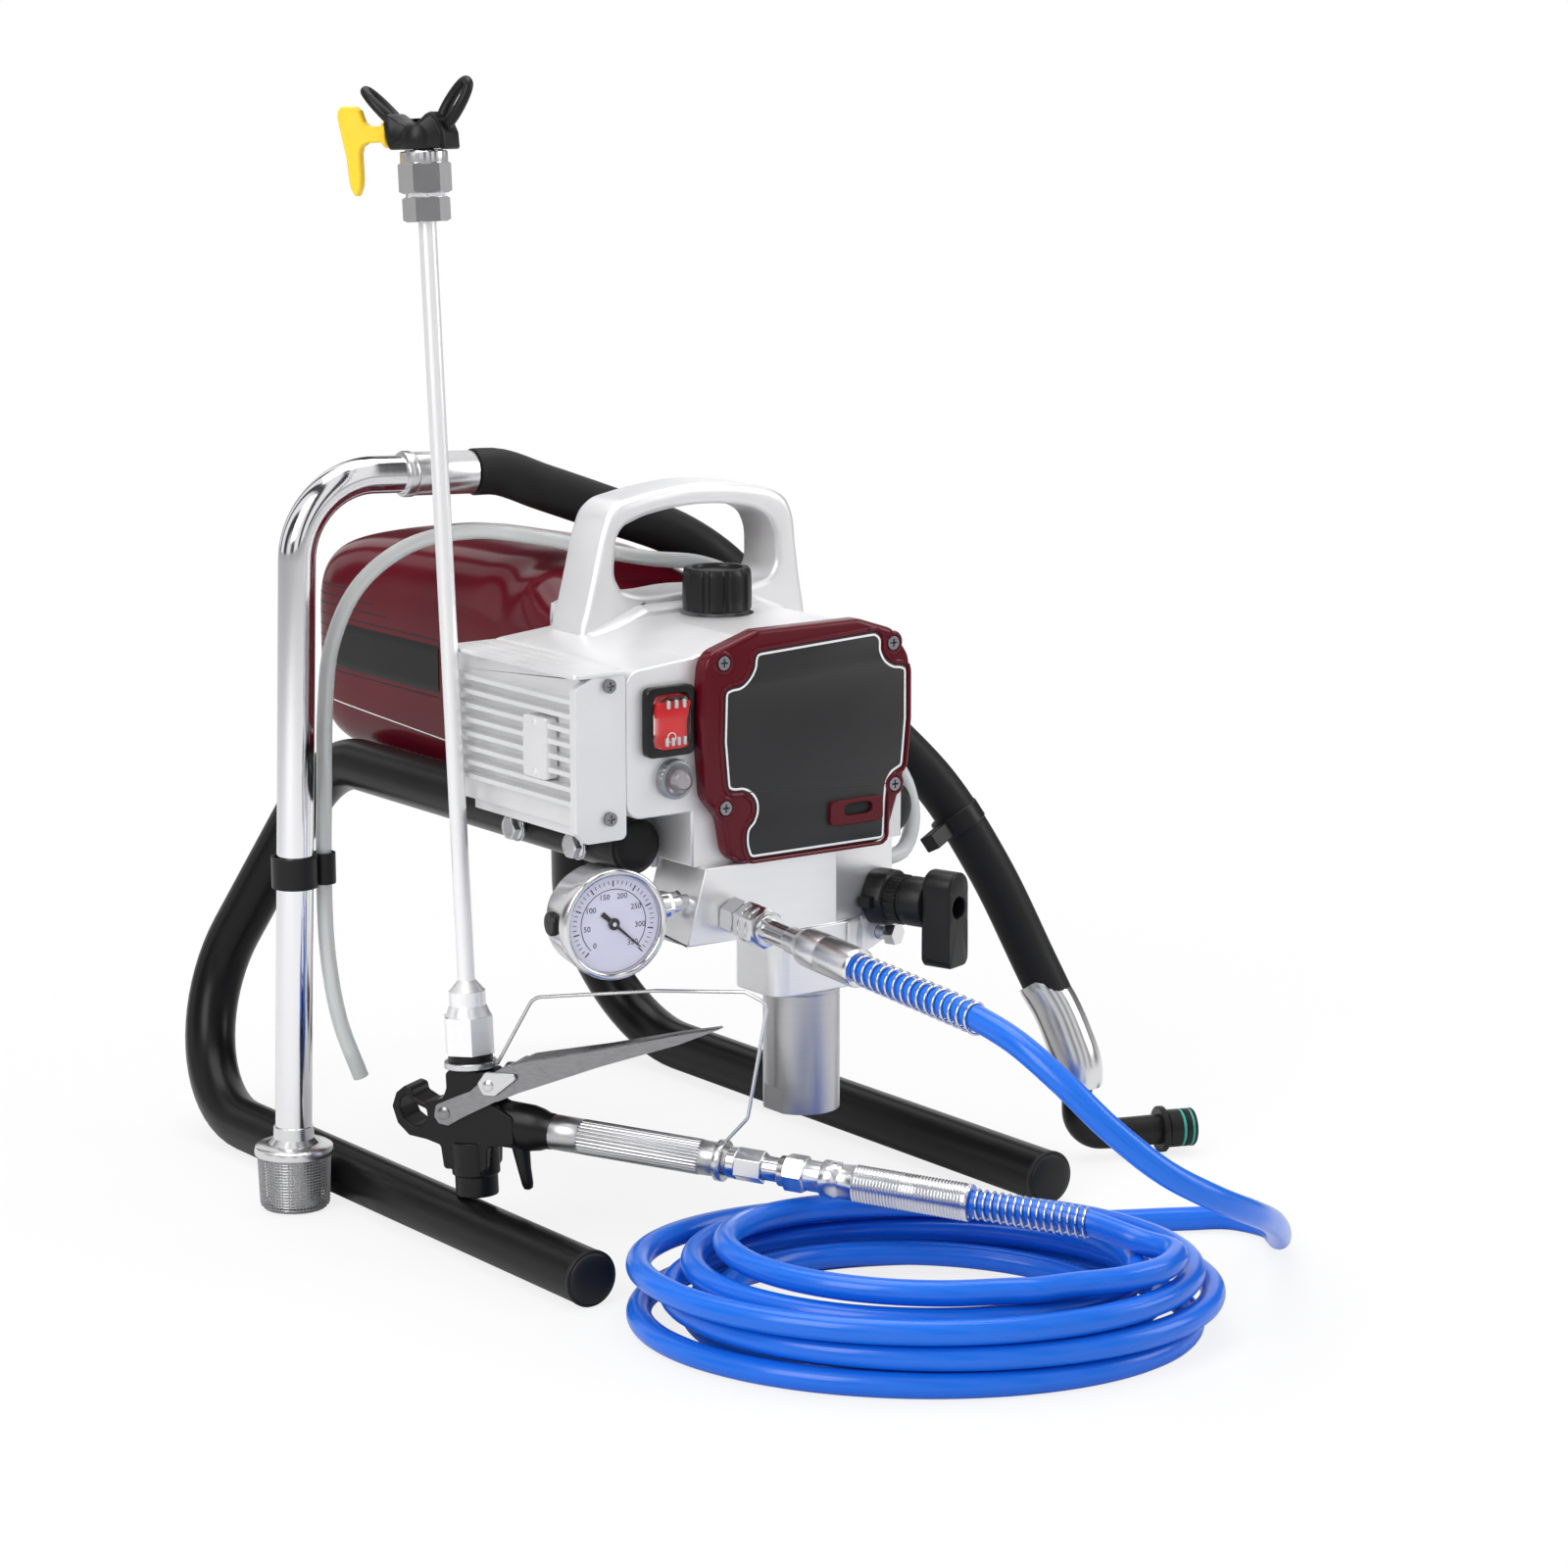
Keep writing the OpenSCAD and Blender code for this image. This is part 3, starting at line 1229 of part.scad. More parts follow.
module gun_trigger() {
    color([0.6, 0.6, 0.62]) at_gun() {
        for (s = [-1, 1]) through_gun(s > 0 ? arm_in : -arm_in - arm_t, s > 0 ? arm_in + arm_t : -arm_in)
            polygon(rounded(trigger_side, 3, 4));
        gun_pin(trigger_pivot, -arm_in - arm_t - pin_proud, arm_in + arm_t + pin_proud, pivot_r);
        through_gun(-arm_in - 0.1, arm_in + 0.1)
            polygon([[57, 19.9], [60, 21], [159, 57], [158.5, 59], [60, 23.2], [57, 22.1]]);
    }
}

module trigger_lock() {
    color([0.7, 0.7, 0.72]) at_gun() {
        gun_pin(lock_pivot, -arm_in - arm_t - 2.5, arm_in + arm_t + 2.5, pivot_r);
        for (s = [-1, 1]) through_gun(s > 0 ? arm_in + arm_t + clear : -arm_in - arm_t - clear - 2,
            s > 0 ? arm_in + arm_t + clear + 2 : -arm_in - arm_t - clear)
            polygon(rounded([[12, 21], [15, 28], [22, 28], [44, 17], [42, 12], [22, 18]], 2, 4));
    }
}

// Bent wire in the gun's plane, from the collar to the end of the grip
module trigger_guard() {
    wire = [[17, 0, 33.2], [42, 0, 73], [120, 0, 79.5], [174, 0, 80.5], [187, 0, 74],
        [172, 0, 8], [157.6, 0, -6.4]];
    color("silver") at_gun() {
        swept(bent(wire, [8, 20, 6, 6, 6], 4), guard_wire / 2, 8);
        translate([0, 0, grip_zero]) rotate([0, 90 + grip_rake, 0]) translate([0, 0, grip_end - 7])
            ring(5, grip_d / 2 + 2.6, grip_d / 2 + clear);
        translate([0, 0, 31]) difference() {
            union() {
                ring(4, 16, 13 + clear);
                translate([13.5, -4, 0]) cube([6, 8, 4]);
            }
            translate([0, 0, -1]) cylinder(h = 8, r = 13 + clear);
        }
    }
}

module extension_pole() {
    color([0.83, 0.83, 0.85]) at_gun() difference() {
        union() {
            translate([0, 0, 27]) cylinder(h = 20, r = 8);
            translate([0, 0, 39 + clear]) hex(22, 27);
            translate([0, 0, 61]) cylinder(h = 6, r1 = 13.5, r2 = 11, $fn = 48);
            translate([0, 0, 66.9]) cylinder(h = 9, r = 10.5);
            translate([0, 0, 75.8]) cylinder(h = 6, r1 = 10.5, r2 = pole_r + 0.5, $fn = 48);
            translate([0, 0, pole_foot]) cylinder(h = pole_len, r = pole_r);
            translate([0, 0, pole_top - 0.1]) cylinder(h = 11, r = 8);
        }
        translate([0, 0, 26]) cylinder(h = pole_top, r = pole_r - pole_wall);
    }
}

module tip_nut() {
    color([0.8, 0.8, 0.82]) at_gun() difference() {
        union() {
            translate([0, 0, pole_top + 11 + clear]) hex(18, 22);
            translate([0, 0, pole_top + 29]) cylinder(h = 9, r = 11);
        }
        translate([0, 0, pole_top + 10]) cylinder(h = 40, r = 6.1);
    }
}

prong_w = 5;

module tip_guard() {
    floor = pole_top + 38 + clear;
    color([0.07, 0.07, 0.07]) at_gun() difference() {
        union() {
            translate([0, 0, floor]) cylinder(h = 20, r = 14);
            translate([0, 0, pole_top + 15]) cylinder(h = 24, r = 6);
            for (s = [-1, 1]) through_gun(-7, 7) polygon([[s * 8, floor + 8], [s * 13, floor + 2],
                [s * 36, floor + 32], [s * 36, floor + 38], [s * 30, floor + 38], [s * 28, floor + 33]]);
        }
        translate([0, 0, floor - 40]) cylinder(h = 80, r = 3);
        translate([-40, 0, floor + 9]) rotate([0, 90, 0]) cylinder(h = 80, r = 5 + running);
        translate([26, 0, floor + 28]) rotate([90, 0, 0]) translate([0, 0, -10]) cylinder(h = 20, r = 3);
    }
}

module spray_tip() {
    floor = pole_top + 38 + clear + 9;
    color([0.95, 0.75, 0.05]) at_gun() {
        translate([-24, 0, floor]) rotate([0, 90, 0]) cylinder(h = 36, r = 5);
        through_gun(-3, 3) polygon([[-50, floor + 22], [-47, floor + 26], [-42, floor + 18],
            [-29, floor + 8], [-25, floor + 3.2], [-21, floor + 3], [-21, floor - 3],
            [-25, floor - 3.2], [-29, floor - 8], [-42, floor - 22], [-47, floor - 32],
            [-51, floor - 24], [-46, floor - 2]]);
    }
}

// ---- Suction set ------------------------------------------------------------------------

module suction_tube() {
    color([0.82, 0.82, 0.84]) at_machine()
        swept_tube(bent(suction_path, [suction_bend_r]), suction_r, suction_r - suction_wall,
            tube_sides);
}

module strainer() {
    color([0.6, 0.6, 0.62]) at_machine() translate(strainer_at) {
        difference() {
            union() {
                cylinder(h = 34, r1 = strainer_r - 4, r2 = strainer_r - 2);
                translate([0, 0, 33.9]) cylinder(h = 5, r = strainer_r);
            }
            translate([0, 0, 2]) cylinder(h = 60, r = strainer_r - 8);
        }
        // Bridge that carries the cup on the tube's foot
        difference() {
            union() {
                for (a = [0, 90]) rotate([0, 0, a]) translate([-strainer_r + 6, -3, 34])
                    cube([2 * strainer_r - 12, 6, 5]);
                translate([0, 0, 34]) cylinder(h = 11.6, r = suction_r);
            }
            translate([0, 0, 30]) cylinder(h = 40, r = suction_r - suction_wall);
        }
    }
}

suction_end = last(suction_path);
suction_dir = unit(suction_end - suction_path[1]);
hose_route_suction = concat([suction_end + suction_dir * clear, suction_end + suction_dir * 14],
    suction_hose_points,
    [[elbow_at.x, elbow_at.y, 60], [elbow_at.x, elbow_at.y, 52]]);

module suction_hose() {
    color([0.06, 0.06, 0.06]) at_machine() swept(hose_route_suction, suction_hose_d / 2, 12);
}

module suction_elbow() {
    leg = unit(elbow_tip - elbow_at);
    tip = [elbow_tip.x, elbow_tip.y, elbow_z];
    corner = [elbow_at.x, elbow_at.y, elbow_z];
    path = [[elbow_at.x, elbow_at.y, 50], corner, tip];
    spigot_r = socket_r - 0.1;
    elbow_bore = 6.5;
    route = bent(path, [16], 6);
    color([0.75, 0.75, 0.77]) at_machine() difference() {
        union() {
            swept(route, 9.5, tube_sides);
            frame_at(tip - [leg.x, leg.y, 0] * 22, [0, 0, 1], [leg.x, leg.y, 0]) {
                cylinder(h = 3, r = 14.5);
                cylinder(h = 22.1, r = spigot_r);
            }
            translate([elbow_at.x, elbow_at.y, 49]) cylinder(h = 2.7, r = 15);
        }
        swept(concat([[elbow_at.x, elbow_at.y, 53]], route, [tip + [leg.x, leg.y, 0]]),
            elbow_bore, 12);
    }
}

clip_z = 196;

module hose_clips() {
    clip_at = suction_path[0] + (suction_path[1] - suction_path[0])
        * (clip_z - suction_path[0].z) / (suction_path[1].z - suction_path[0].z);
    clip_h = 19;
    tube_at = return_points[20];
    color([0.06, 0.06, 0.06]) at_machine() difference() {
        union() {
            translate([clip_at.x, clip_at.y, clip_z + 1]) cylinder(h = clip_h, r = suction_r + 2.8);
            translate([tube_at.x, tube_at.y, clip_z + 1])
                cylinder(h = clip_h, r = return_d / 2 + 2.3);
        }
        translate([clip_at.x, clip_at.y, clip_z]) cylinder(h = clip_h + 2, r = suction_r + 0.8);
        translate([tube_at.x, tube_at.y, clip_z])
            cylinder(h = clip_h + 2, r = return_d / 2 + 0.8);
    }
}

module return_tube() {
    color([0.9, 0.92, 0.92, 0.6]) at_machine()
        swept(concat([[83.3, 62, 212]], return_points), return_d / 2, 8);
}

left_skid();
right_skid();
skid_caps();
mounting_bolts();
drive_housing();
front_cover();
cover_plate();
housing_screws();
oil_port();
control_box();
circuit_board();
switch_bezel();
switch_rocker();
breaker_body();
breaker_button();
pressure_knob();
knob_bushing();
motor_cover();
motor_can();
motor_rotor();
motor_fan();
pinion_gear();
drive_gear();
crankshaft();
piston_rod();
fluid_manifold();
pump_cylinder();
inlet_ball();
gauge_case();
gauge_dial();
gauge_needle();
gauge_lens();
prime_valve_body();
prime_lever();
drain_fitting();
outlet_fitting();
hose_swivel_machine();
hose_spring_machine();
hose_run();
hose_coil();
hose_lead();
hose_spring_gun();
hose_swivel_gun();
gun_body();
gun_handle();
gun_swivel();
gun_trigger();
trigger_lock();
trigger_guard();
extension_pole();
tip_nut();
tip_guard();
spray_tip();
suction_tube();
strainer();
suction_hose();
suction_elbow();
hose_clips();
return_tube();
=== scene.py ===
"""Airless paint sprayer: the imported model's finished surfaces, a floor, lamps and a camera.

Lengths are worked out in the machine's millimetres and put into meshes in metres.
"""
import math

import bmesh
import bpy
import numpy as np
from mathutils import Matrix, Vector


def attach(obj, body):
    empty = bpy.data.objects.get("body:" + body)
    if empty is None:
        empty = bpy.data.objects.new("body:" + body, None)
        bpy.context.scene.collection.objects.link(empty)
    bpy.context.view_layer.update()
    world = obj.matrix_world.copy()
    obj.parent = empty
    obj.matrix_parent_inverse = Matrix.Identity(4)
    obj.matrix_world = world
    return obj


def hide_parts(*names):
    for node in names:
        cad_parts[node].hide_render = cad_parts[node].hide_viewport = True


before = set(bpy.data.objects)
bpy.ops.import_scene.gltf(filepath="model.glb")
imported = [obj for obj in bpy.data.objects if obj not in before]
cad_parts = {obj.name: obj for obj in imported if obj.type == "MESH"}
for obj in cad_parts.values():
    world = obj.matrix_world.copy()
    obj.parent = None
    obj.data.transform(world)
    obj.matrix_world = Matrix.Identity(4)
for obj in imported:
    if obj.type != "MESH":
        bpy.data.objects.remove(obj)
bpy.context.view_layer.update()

# ---- Camera -------------------------------------------------------------------------------
# A long lens from the front left, a little above the machine, as a catalogue picture is taken.
# Its place is in metres and its angles are in degrees.

view_tilt, view_turn = 78.8, -36.4
lens_data = bpy.data.cameras.new("camera")
lens_data.sensor_width = 36
lens_data.lens = 97.425
camera = bpy.data.objects.new("camera", lens_data)
camera.location = (-1.4005, -2.1103, 0.745)
camera.rotation_euler = (math.radians(view_tilt), 0, math.radians(view_turn))
bpy.context.scene.collection.objects.link(camera)
bpy.context.scene.camera = camera

# ---- High-pressure hose -------------------------------------------------------------------
# Nylon braided hose with a glossy polyurethane jacket, crimped at both ends. It drops from
# the machine's outlet to the floor, lies there in a flat coil, and climbs to the gun.

hose_d = 14.0
outlet_at = np.array([-52, 21, 204.0])


def turn(axis, degrees):
    """A rotation about one axis, as a 4 by 4 matrix."""
    return Matrix.Rotation(math.radians(degrees), 4, axis)


def shift(x, y, z):
    """A move, as a 4 by 4 matrix."""
    return Matrix.Translation((x, y, z))


# Place of the machine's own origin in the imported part, in millimetres
machine_at = np.array([22.5, -222.3, 0.0])


def seat(x, y, z):
    """A move to a place given in machine millimetres."""
    return shift(*(np.array([x, y, z]) + machine_at))


outlet = seat(*outlet_at) @ turn("X", 94)
spring_start, spring_end = 120.0, 226.0
outlet_dir = np.array([0, -math.cos(math.radians(4)), -math.sin(math.radians(4))])
gun = seat(-158.5, 130.2, 77) @ turn("X", -3.9) @ turn("Z", -58)
grip = gun @ shift(0, 0, 0.5) @ turn("Y", 96.5)
ferrule_end, gun_spring_end = 306.0, 376.0

# The coil: q counts loops. Two loops run inwards and the next two outwards, and with every
# second loop it climbs one layer over half a turn.
coil_loops = 6.5
q = np.arange(int(coil_loops * 24) + 1) / 24
folded = q % 4
wave = np.where(folded < 2, folded, 4 - folded)
turns = np.round(q / 2)
past = q - turns * 2
layer = np.where(turns < 1, 0, np.where(np.abs(past) > 0.25,
                 np.where(past > 0, turns, turns - 1), turns - 0.5 + 2 * past))
spin = np.radians(110 + 360 * q)
long_axis = (165 - 30 * wave) * np.cos(spin)
short_axis = (128 - 19 * wave) * np.sin(spin)
coil = np.stack([-36 + 0.7835 * long_axis + 0.6217 * short_axis,
                 -140 - 0.6217 * long_axis + 0.7835 * short_axis,
                 hose_d / 2 + 0.1 + (hose_d + 0.5) * layer], axis=1)
run_points = [[-51, -232, 182], [-44, -260, 166], [-30, -284, 143], [-8, -300, 121],
              [22, -306, 103], [56, -298, 87], [90, -276, 71], [122, -248, 54],
              [153, -217, 37], [184, -184, 21], [210, -155, 10], [224, -130, 7.2],
              [218, -107, 7.2], [195, -92, 7.2], [160, -73, 7.2], [122, -52, 7.2],
              [84, -35, 7.2], [44, -22, 7.2]]
lead_points = [[-30, -251, 50.6], [2, -260, 50.6], [34, -257, 50.6], [55, -239, 50.3],
               [54, -213, 49.8]]


def carry(points, place):
    """Local millimetres to scene metres: a 4 by 4 matrix times each point, then scaled."""
    p = np.asarray(points, float)
    m = np.array(place)
    return ((p.reshape(-1, 3) @ m[:3, :3].T + m[:3, 3]) * 0.001).reshape(p.shape)


grip_ends = carry([[0, 0, gun_spring_end], [0, 0, ferrule_end]], grip) * 1000 - machine_at


def unit(v):
    """Vectors divided by their lengths."""
    return v / np.linalg.norm(v, axis=-1, keepdims=True)


hose_route = np.vstack([
    [outlet_at + outlet_dir * s
     for s in (spring_start, (spring_start + spring_end) / 2, spring_end)],
    run_points, coil[0] - unit(coil[1] - coil[0]) * hose_d, coil,
    coil[-1] + unit(coil[-1] - coil[-2]) * hose_d, lead_points, grip_ends])


def smooth(points, step):
    """Cubic Hermite curve through the points, with each tangent the slope of its two spans."""
    p = np.asarray(points, float)
    s = np.r_[0, np.cumsum(np.linalg.norm(np.diff(p, axis=0), axis=1))]
    slope = np.gradient(p, s, axis=0)
    u = np.linspace(0, s[-1], int(s[-1] / step) + 1)
    i = np.clip(np.searchsorted(s, u, side="right") - 1, 0, len(s) - 2)
    h = (s[i + 1] - s[i])[:, None]
    t = (u - s[i])[:, None] / h
    return ((2 * t**3 - 3 * t**2 + 1) * p[i] + (t**3 - 2 * t**2 + t) * h * slope[i]
            + (3 * t**2 - 2 * t**3) * p[i + 1] + (t**3 - t**2) * h * slope[i + 1])


hose_path = smooth(hose_route, 5) + machine_at


def link(name, mesh, sharp):
    """Shades a mesh smooth but for edges steeper than 'sharp' degrees, and makes its object."""
    mesh.polygons.foreach_set("use_smooth", np.ones(len(mesh.polygons), bool))
    mesh.set_sharp_from_angle(angle=math.radians(sharp))
    piece = bpy.data.objects.new(name, mesh)
    bpy.context.scene.collection.objects.link(piece)
    return piece


def walls(rows, columns, start):
    """Quads between neighbouring rows of a grid, whose rows close on themselves."""
    r, c = np.meshgrid(np.arange(rows - 1), np.arange(columns), indexing="ij")
    d = (c + 1) % columns
    quads = np.stack([r * columns + c, r * columns + d, (r + 1) * columns + d,
                      (r + 1) * columns + c], axis=-1)
    return (quads.reshape(-1, 4) + start).tolist()


# Metres within which two points of a shell are one
weld = 1e-7


def shells(name, grids, sharp=40, capped=True):
    """One mesh from grids of points (rows, columns, 3), each closed round and over its ends."""
    vertices, faces, start = [], [], 0
    for grid in grids:
        rows, columns = grid.shape[:2]
        vertices.append(grid.reshape(-1, 3))
        faces += walls(rows, columns, start)
        if capped:
            faces.append(list(range(start, start + columns))[::-1])
            faces.append(list(range(start + (rows - 1) * columns, start + rows * columns)))
        start += rows * columns
    mesh = bpy.data.meshes.new(name)
    mesh.from_pydata(np.vstack(vertices).tolist(), [], faces)
    work = bmesh.new()
    work.from_mesh(mesh)
    bmesh.ops.remove_doubles(work, verts=work.verts, dist=weld)
    bmesh.ops.recalc_face_normals(work, faces=work.faces)
    work.to_mesh(mesh)
    work.free()
    return link(name, mesh, sharp)


def round_angles(count):
    """Even angles once round, the last one short of the first."""
    return np.linspace(0, 2 * np.pi, count, endpoint=False)


def tube_grid(path, radius, sides=24, lean=(0.31, 0.87, 0.38)):
    """Circles square to a path: centre + r (cos a n + sin a b), n square to a leaning vector."""
    spans = unit(np.diff(path, axis=0))
    t = unit(np.vstack([spans[:1], spans[:-1] + spans[1:], spans[-1:]]))
    n = unit(np.cross(t, lean))
    b = np.cross(t, n)
    a = round_angles(sides)
    r = np.broadcast_to(radius, len(path))[:, None, None]
    return (path[:, None] + r * (np.cos(a)[:, None] * n[:, None]
                                 + np.sin(a)[:, None] * b[:, None]))


def tube(name, path, radius, sides, lean):
    """A round bar along a path in scene millimetres."""
    return shells(name, [tube_grid(path, radius, sides, lean) * 0.001])


hose = tube("high_pressure_hose", hose_path, hose_d / 2, 24, (0, 0.12, 0.99))


def node(tree, kind, inputs=(), **settings):
    """A node with its settings, and its inputs set to values or linked to other sockets."""
    made = tree.nodes.new(kind)
    for key, value in settings.items():
        setattr(made, key, value)
    for key, value in dict(inputs).items():
        if isinstance(value, bpy.types.NodeSocket):
            tree.links.new(value, made.inputs[key])
        else:
            made.inputs[key].default_value = value
    return made


def group(name, inputs, outputs):
    """A shader node group with named sockets: its tree, its input node and its output node."""
    tree = bpy.data.node_groups.new(name, "ShaderNodeTree")
    for label, kind, value in inputs:
        tree.interface.new_socket(label, in_out="INPUT", socket_type=kind).default_value = value
    for label, kind in outputs:
        tree.interface.new_socket(label, in_out="OUTPUT", socket_type=kind)
    return tree, tree.nodes.new("NodeGroupInput"), tree.nodes.new("NodeGroupOutput")


FLOAT, COLOUR, VECTOR = "NodeSocketFloat", "NodeSocketColor", "NodeSocketVector"

# Skin of a moulded, cast or painted surface: cloudy colour and gloss, and a fine grain
skin, skin_in, skin_out = group("skin", [
    ("Vector", VECTOR, (0, 0, 0)), ("Colour", COLOUR, (0.5, 0.5, 0.5, 1)),
    ("Colour Shift", FLOAT, 0.08), ("Cloud Scale", FLOAT, 40), ("Roughness", FLOAT, 0.4),
    ("Roughness Spread", FLOAT, 0.1), ("Grain Scale", FLOAT, 900), ("Grain Depth", FLOAT, 0.00002),
], [("Colour", COLOUR), ("Roughness", FLOAT), ("Normal", VECTOR)])
clouds = node(skin, "ShaderNodeTexNoise", {"Vector": skin_in.outputs["Vector"],
              "Scale": skin_in.outputs["Cloud Scale"], "Detail": 4.0})
swing = node(skin, "ShaderNodeMath", {0: clouds.outputs["Fac"], 1: 0.5}, operation="SUBTRACT")
value = node(skin, "ShaderNodeMath", {0: swing.outputs[0], 1: skin_in.outputs["Colour Shift"],
             2: 0.5}, operation="MULTIPLY_ADD")
doubled = node(skin, "ShaderNodeMath", {0: value.outputs[0], 1: 2.0}, operation="MULTIPLY")
tinted = node(skin, "ShaderNodeHueSaturation", {"Value": doubled.outputs[0],
              "Color": skin_in.outputs["Colour"]})
rough = node(skin, "ShaderNodeMath", {0: swing.outputs[0],
             1: skin_in.outputs["Roughness Spread"], 2: skin_in.outputs["Roughness"]},
             operation="MULTIPLY_ADD", use_clamp=True)
grains = node(skin, "ShaderNodeTexNoise", {"Vector": skin_in.outputs["Vector"],
              "Scale": skin_in.outputs["Grain Scale"], "Detail": 3.0, "Roughness": 0.6})
pits = node(skin, "ShaderNodeBump", {"Strength": 1.0, "Height": grains.outputs["Fac"],
            "Distance": skin_in.outputs["Grain Depth"]})
skin.links.new(tinted.outputs[0], skin_out.inputs["Colour"])
skin.links.new(rough.outputs[0], skin_out.inputs["Roughness"])
skin.links.new(pits.outputs[0], skin_out.inputs["Normal"])


def material(name, colour, roughness, metallic=0.0, vary=0.08, cloud=40, spread=0.12,
             grain=900, depth=0.00002, stretch=(1, 1, 1), **sockets):
    """A Principled material whose colour, roughness and normal come from the skin group."""
    made = bpy.data.materials.new(name)
    made.use_nodes = True
    tree = made.node_tree
    shader = tree.nodes["Principled BSDF"]
    places = node(tree, "ShaderNodeTexCoord")
    mapped = node(tree, "ShaderNodeMapping", {"Vector": places.outputs["Object"],
                  "Scale": stretch})
    look = node(tree, "ShaderNodeGroup", node_tree=skin)
    tree.links.new(mapped.outputs[0], look.inputs["Vector"])
    for key, v in {"Colour": (*colour, 1), "Colour Shift": vary, "Cloud Scale": cloud,
                   "Roughness": roughness, "Roughness Spread": spread, "Grain Scale": grain,
                   "Grain Depth": depth}.items():
        look.inputs[key].default_value = v
    tree.links.new(look.outputs["Colour"], shader.inputs["Base Color"])
    tree.links.new(look.outputs["Roughness"], shader.inputs["Roughness"])
    tree.links.new(look.outputs["Normal"], shader.inputs["Normal"])
    shader.inputs["Metallic"].default_value = metallic
    for key, v in sockets.items():
        shader.inputs[key.replace("_", " ")].default_value = v
    made.diffuse_color = (*colour, 1)
    return made


hose_jacket = material("azure hose jacket", (0.006, 0.15, 0.74), 0.3, vary=0.12, cloud=9,
                       spread=0.1, grain=260, depth=0.00005, Specular_IOR_Level=0.3,
                       Coat_Weight=0.25, Coat_Roughness=0.12)


def dress(piece, finish, body="machine", replaces=()):
    """Gives a piece its material, sets it on its body and hides the imported parts it replaces."""
    piece.data.materials.clear()
    piece.data.materials.append(finish)
    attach(piece, body)
    if replaces:
        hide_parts(*replaces)
    return piece


dress(hose, hose_jacket, replaces=["hose_run", "hose_coil", "hose_lead"])

# ---- Bend springs -------------------------------------------------------------------------
# Bright steel wire wound close round the hose behind each ferrule, so that it can't kink.
# Each starts at its ferrule and has fifteen even turns.

spring_wire, spring_turns = 1.5, 15
chrome = material("bright chrome", (0.7, 0.7, 0.71), 0.17, 1.0, vary=0.03, spread=0.08,
                  grain=300, depth=0.000004)


def about_z(r, a, z):
    """Points at radius r, angle a and height z, each of them one number or an array."""
    return np.stack([r * np.cos(a), r * np.sin(a), z + 0 * a], axis=1)


def spring(name, start, end, place):
    """A helix r (cos, sin) rising evenly, as a thin wire, with its two ends closed up."""
    radius = hose_d / 2 + 0.45 + spring_wire / 2
    part = np.linspace(0, 1, spring_turns * 24 + 1)
    rise = start + spring_wire + (end - start - 2 * spring_wire) * part
    path = about_z(radius, part * spring_turns * 2 * np.pi, rise)
    return shells(name, [carry(tube_grid(path, spring_wire / 2, 10, (0, 0, 1)), place)], 60)


machine_spring = dress(spring("outlet_bend_spring", spring_start, spring_end, outlet), chrome,
                       replaces=["hose_spring_machine"])
gun_spring = dress(spring("gun_bend_spring", ferrule_end, gun_spring_end, grip), chrome,
                   replaces=["hose_spring_gun"])

# ---- Hose ferrules ------------------------------------------------------------------------
# Aluminium sleeves crimped on the hose: a plain collar, then a sleeve with fine rolled rings.
# The machine's is smooth, and the gun's has a hexagon for a wrench above it.

sleeve = material("rolled aluminium sleeve", (0.76, 0.76, 0.78), 0.24, 1.0, vary=0.05,
                  spread=0.16, grain=700, depth=0.00001)


def ferrule_profile(start, end, ribs):
    """A sleeve's outline: collar, neck, then rings r = 10.3 + 0.35 cos along the crimped part."""
    z = np.linspace(start + 20, end - 3, ribs * 6)
    rings = 10.35 + 0.35 * np.cos((z - z[0]) / (z[-1] - z[0]) * ribs * 2 * np.pi)
    return np.vstack([[[0, start], [10.1, start], [10.5, start + 0.5], [10.5, start + 9.4],
                       [10.0, start + 10], [9.9, start + 12], [10.2, start + 19]],
                      np.stack([rings, z], axis=1), [[10.6, end - 2], [10.6, end - 0.5],
                      [10.2, end], [7.3, end], [7.3, end - 3], [0, end - 3]]])


smooth_sleeve = [[0, 56], [7.2, 56], [7.5, 57], [7.6, 66], [8.6, 69], [10.6, 71.5], [11.1, 74],
                 [11.1, 90], [11.0, 90.4], [11.1, 90.8], [11.1, 116.6], [10.9, 118.6],
                 [10.2, 120], [7.3, 120], [7.3, 117], [0, 117]]


def lathe(profile, place, sides=64):
    """Rings about Z for rows of (radius, height), each one number or one for every angle."""
    return carry([about_z(r, round_angles(sides), z) for r, z in profile], place)


machine_ferrule = dress(shells("outlet_ferrule", [lathe(smooth_sleeve, outlet)]),
                        sleeve, replaces=["hose_swivel_machine"])


def nut(af, low, high, place, bore=0.0):
    """A hexagon of that width across flats whose corners fall away on a 30 degree cone."""
    a = round_angles(96)
    hexagon = af / 2 / np.cos((a + np.pi / 6) % (np.pi / 3) - np.pi / 6)
    fall = np.maximum(0, hexagon - af / 2 * 0.98) * 0.6
    return lathe([(bore, low), (af / 2 * 0.96, low), (hexagon, low + fall),
                  (hexagon, high - fall), (af / 2 * 0.96, high), (bore, high)], place, 96)


gun_ferrule = dress(
    shells("gun_hose_ferrule", [
        lathe(ferrule_profile(218, 306, 34), grip),
        lathe([[0, 192], [8.3, 192], [8.8, 192.6], [8.8, 217.6], [0, 218]], grip),
        nut(19, 196, 208, grip)]),
    sleeve, replaces=["hose_swivel_gun"])


# ---- Suction hose -------------------------------------------------------------------------
# Thick black rubber hose, pushed on the suction pipe and clamped at its lower end by a bright
# ferrule with a black elbow, whose flange carries the O-rings that seal in the pump's foot.

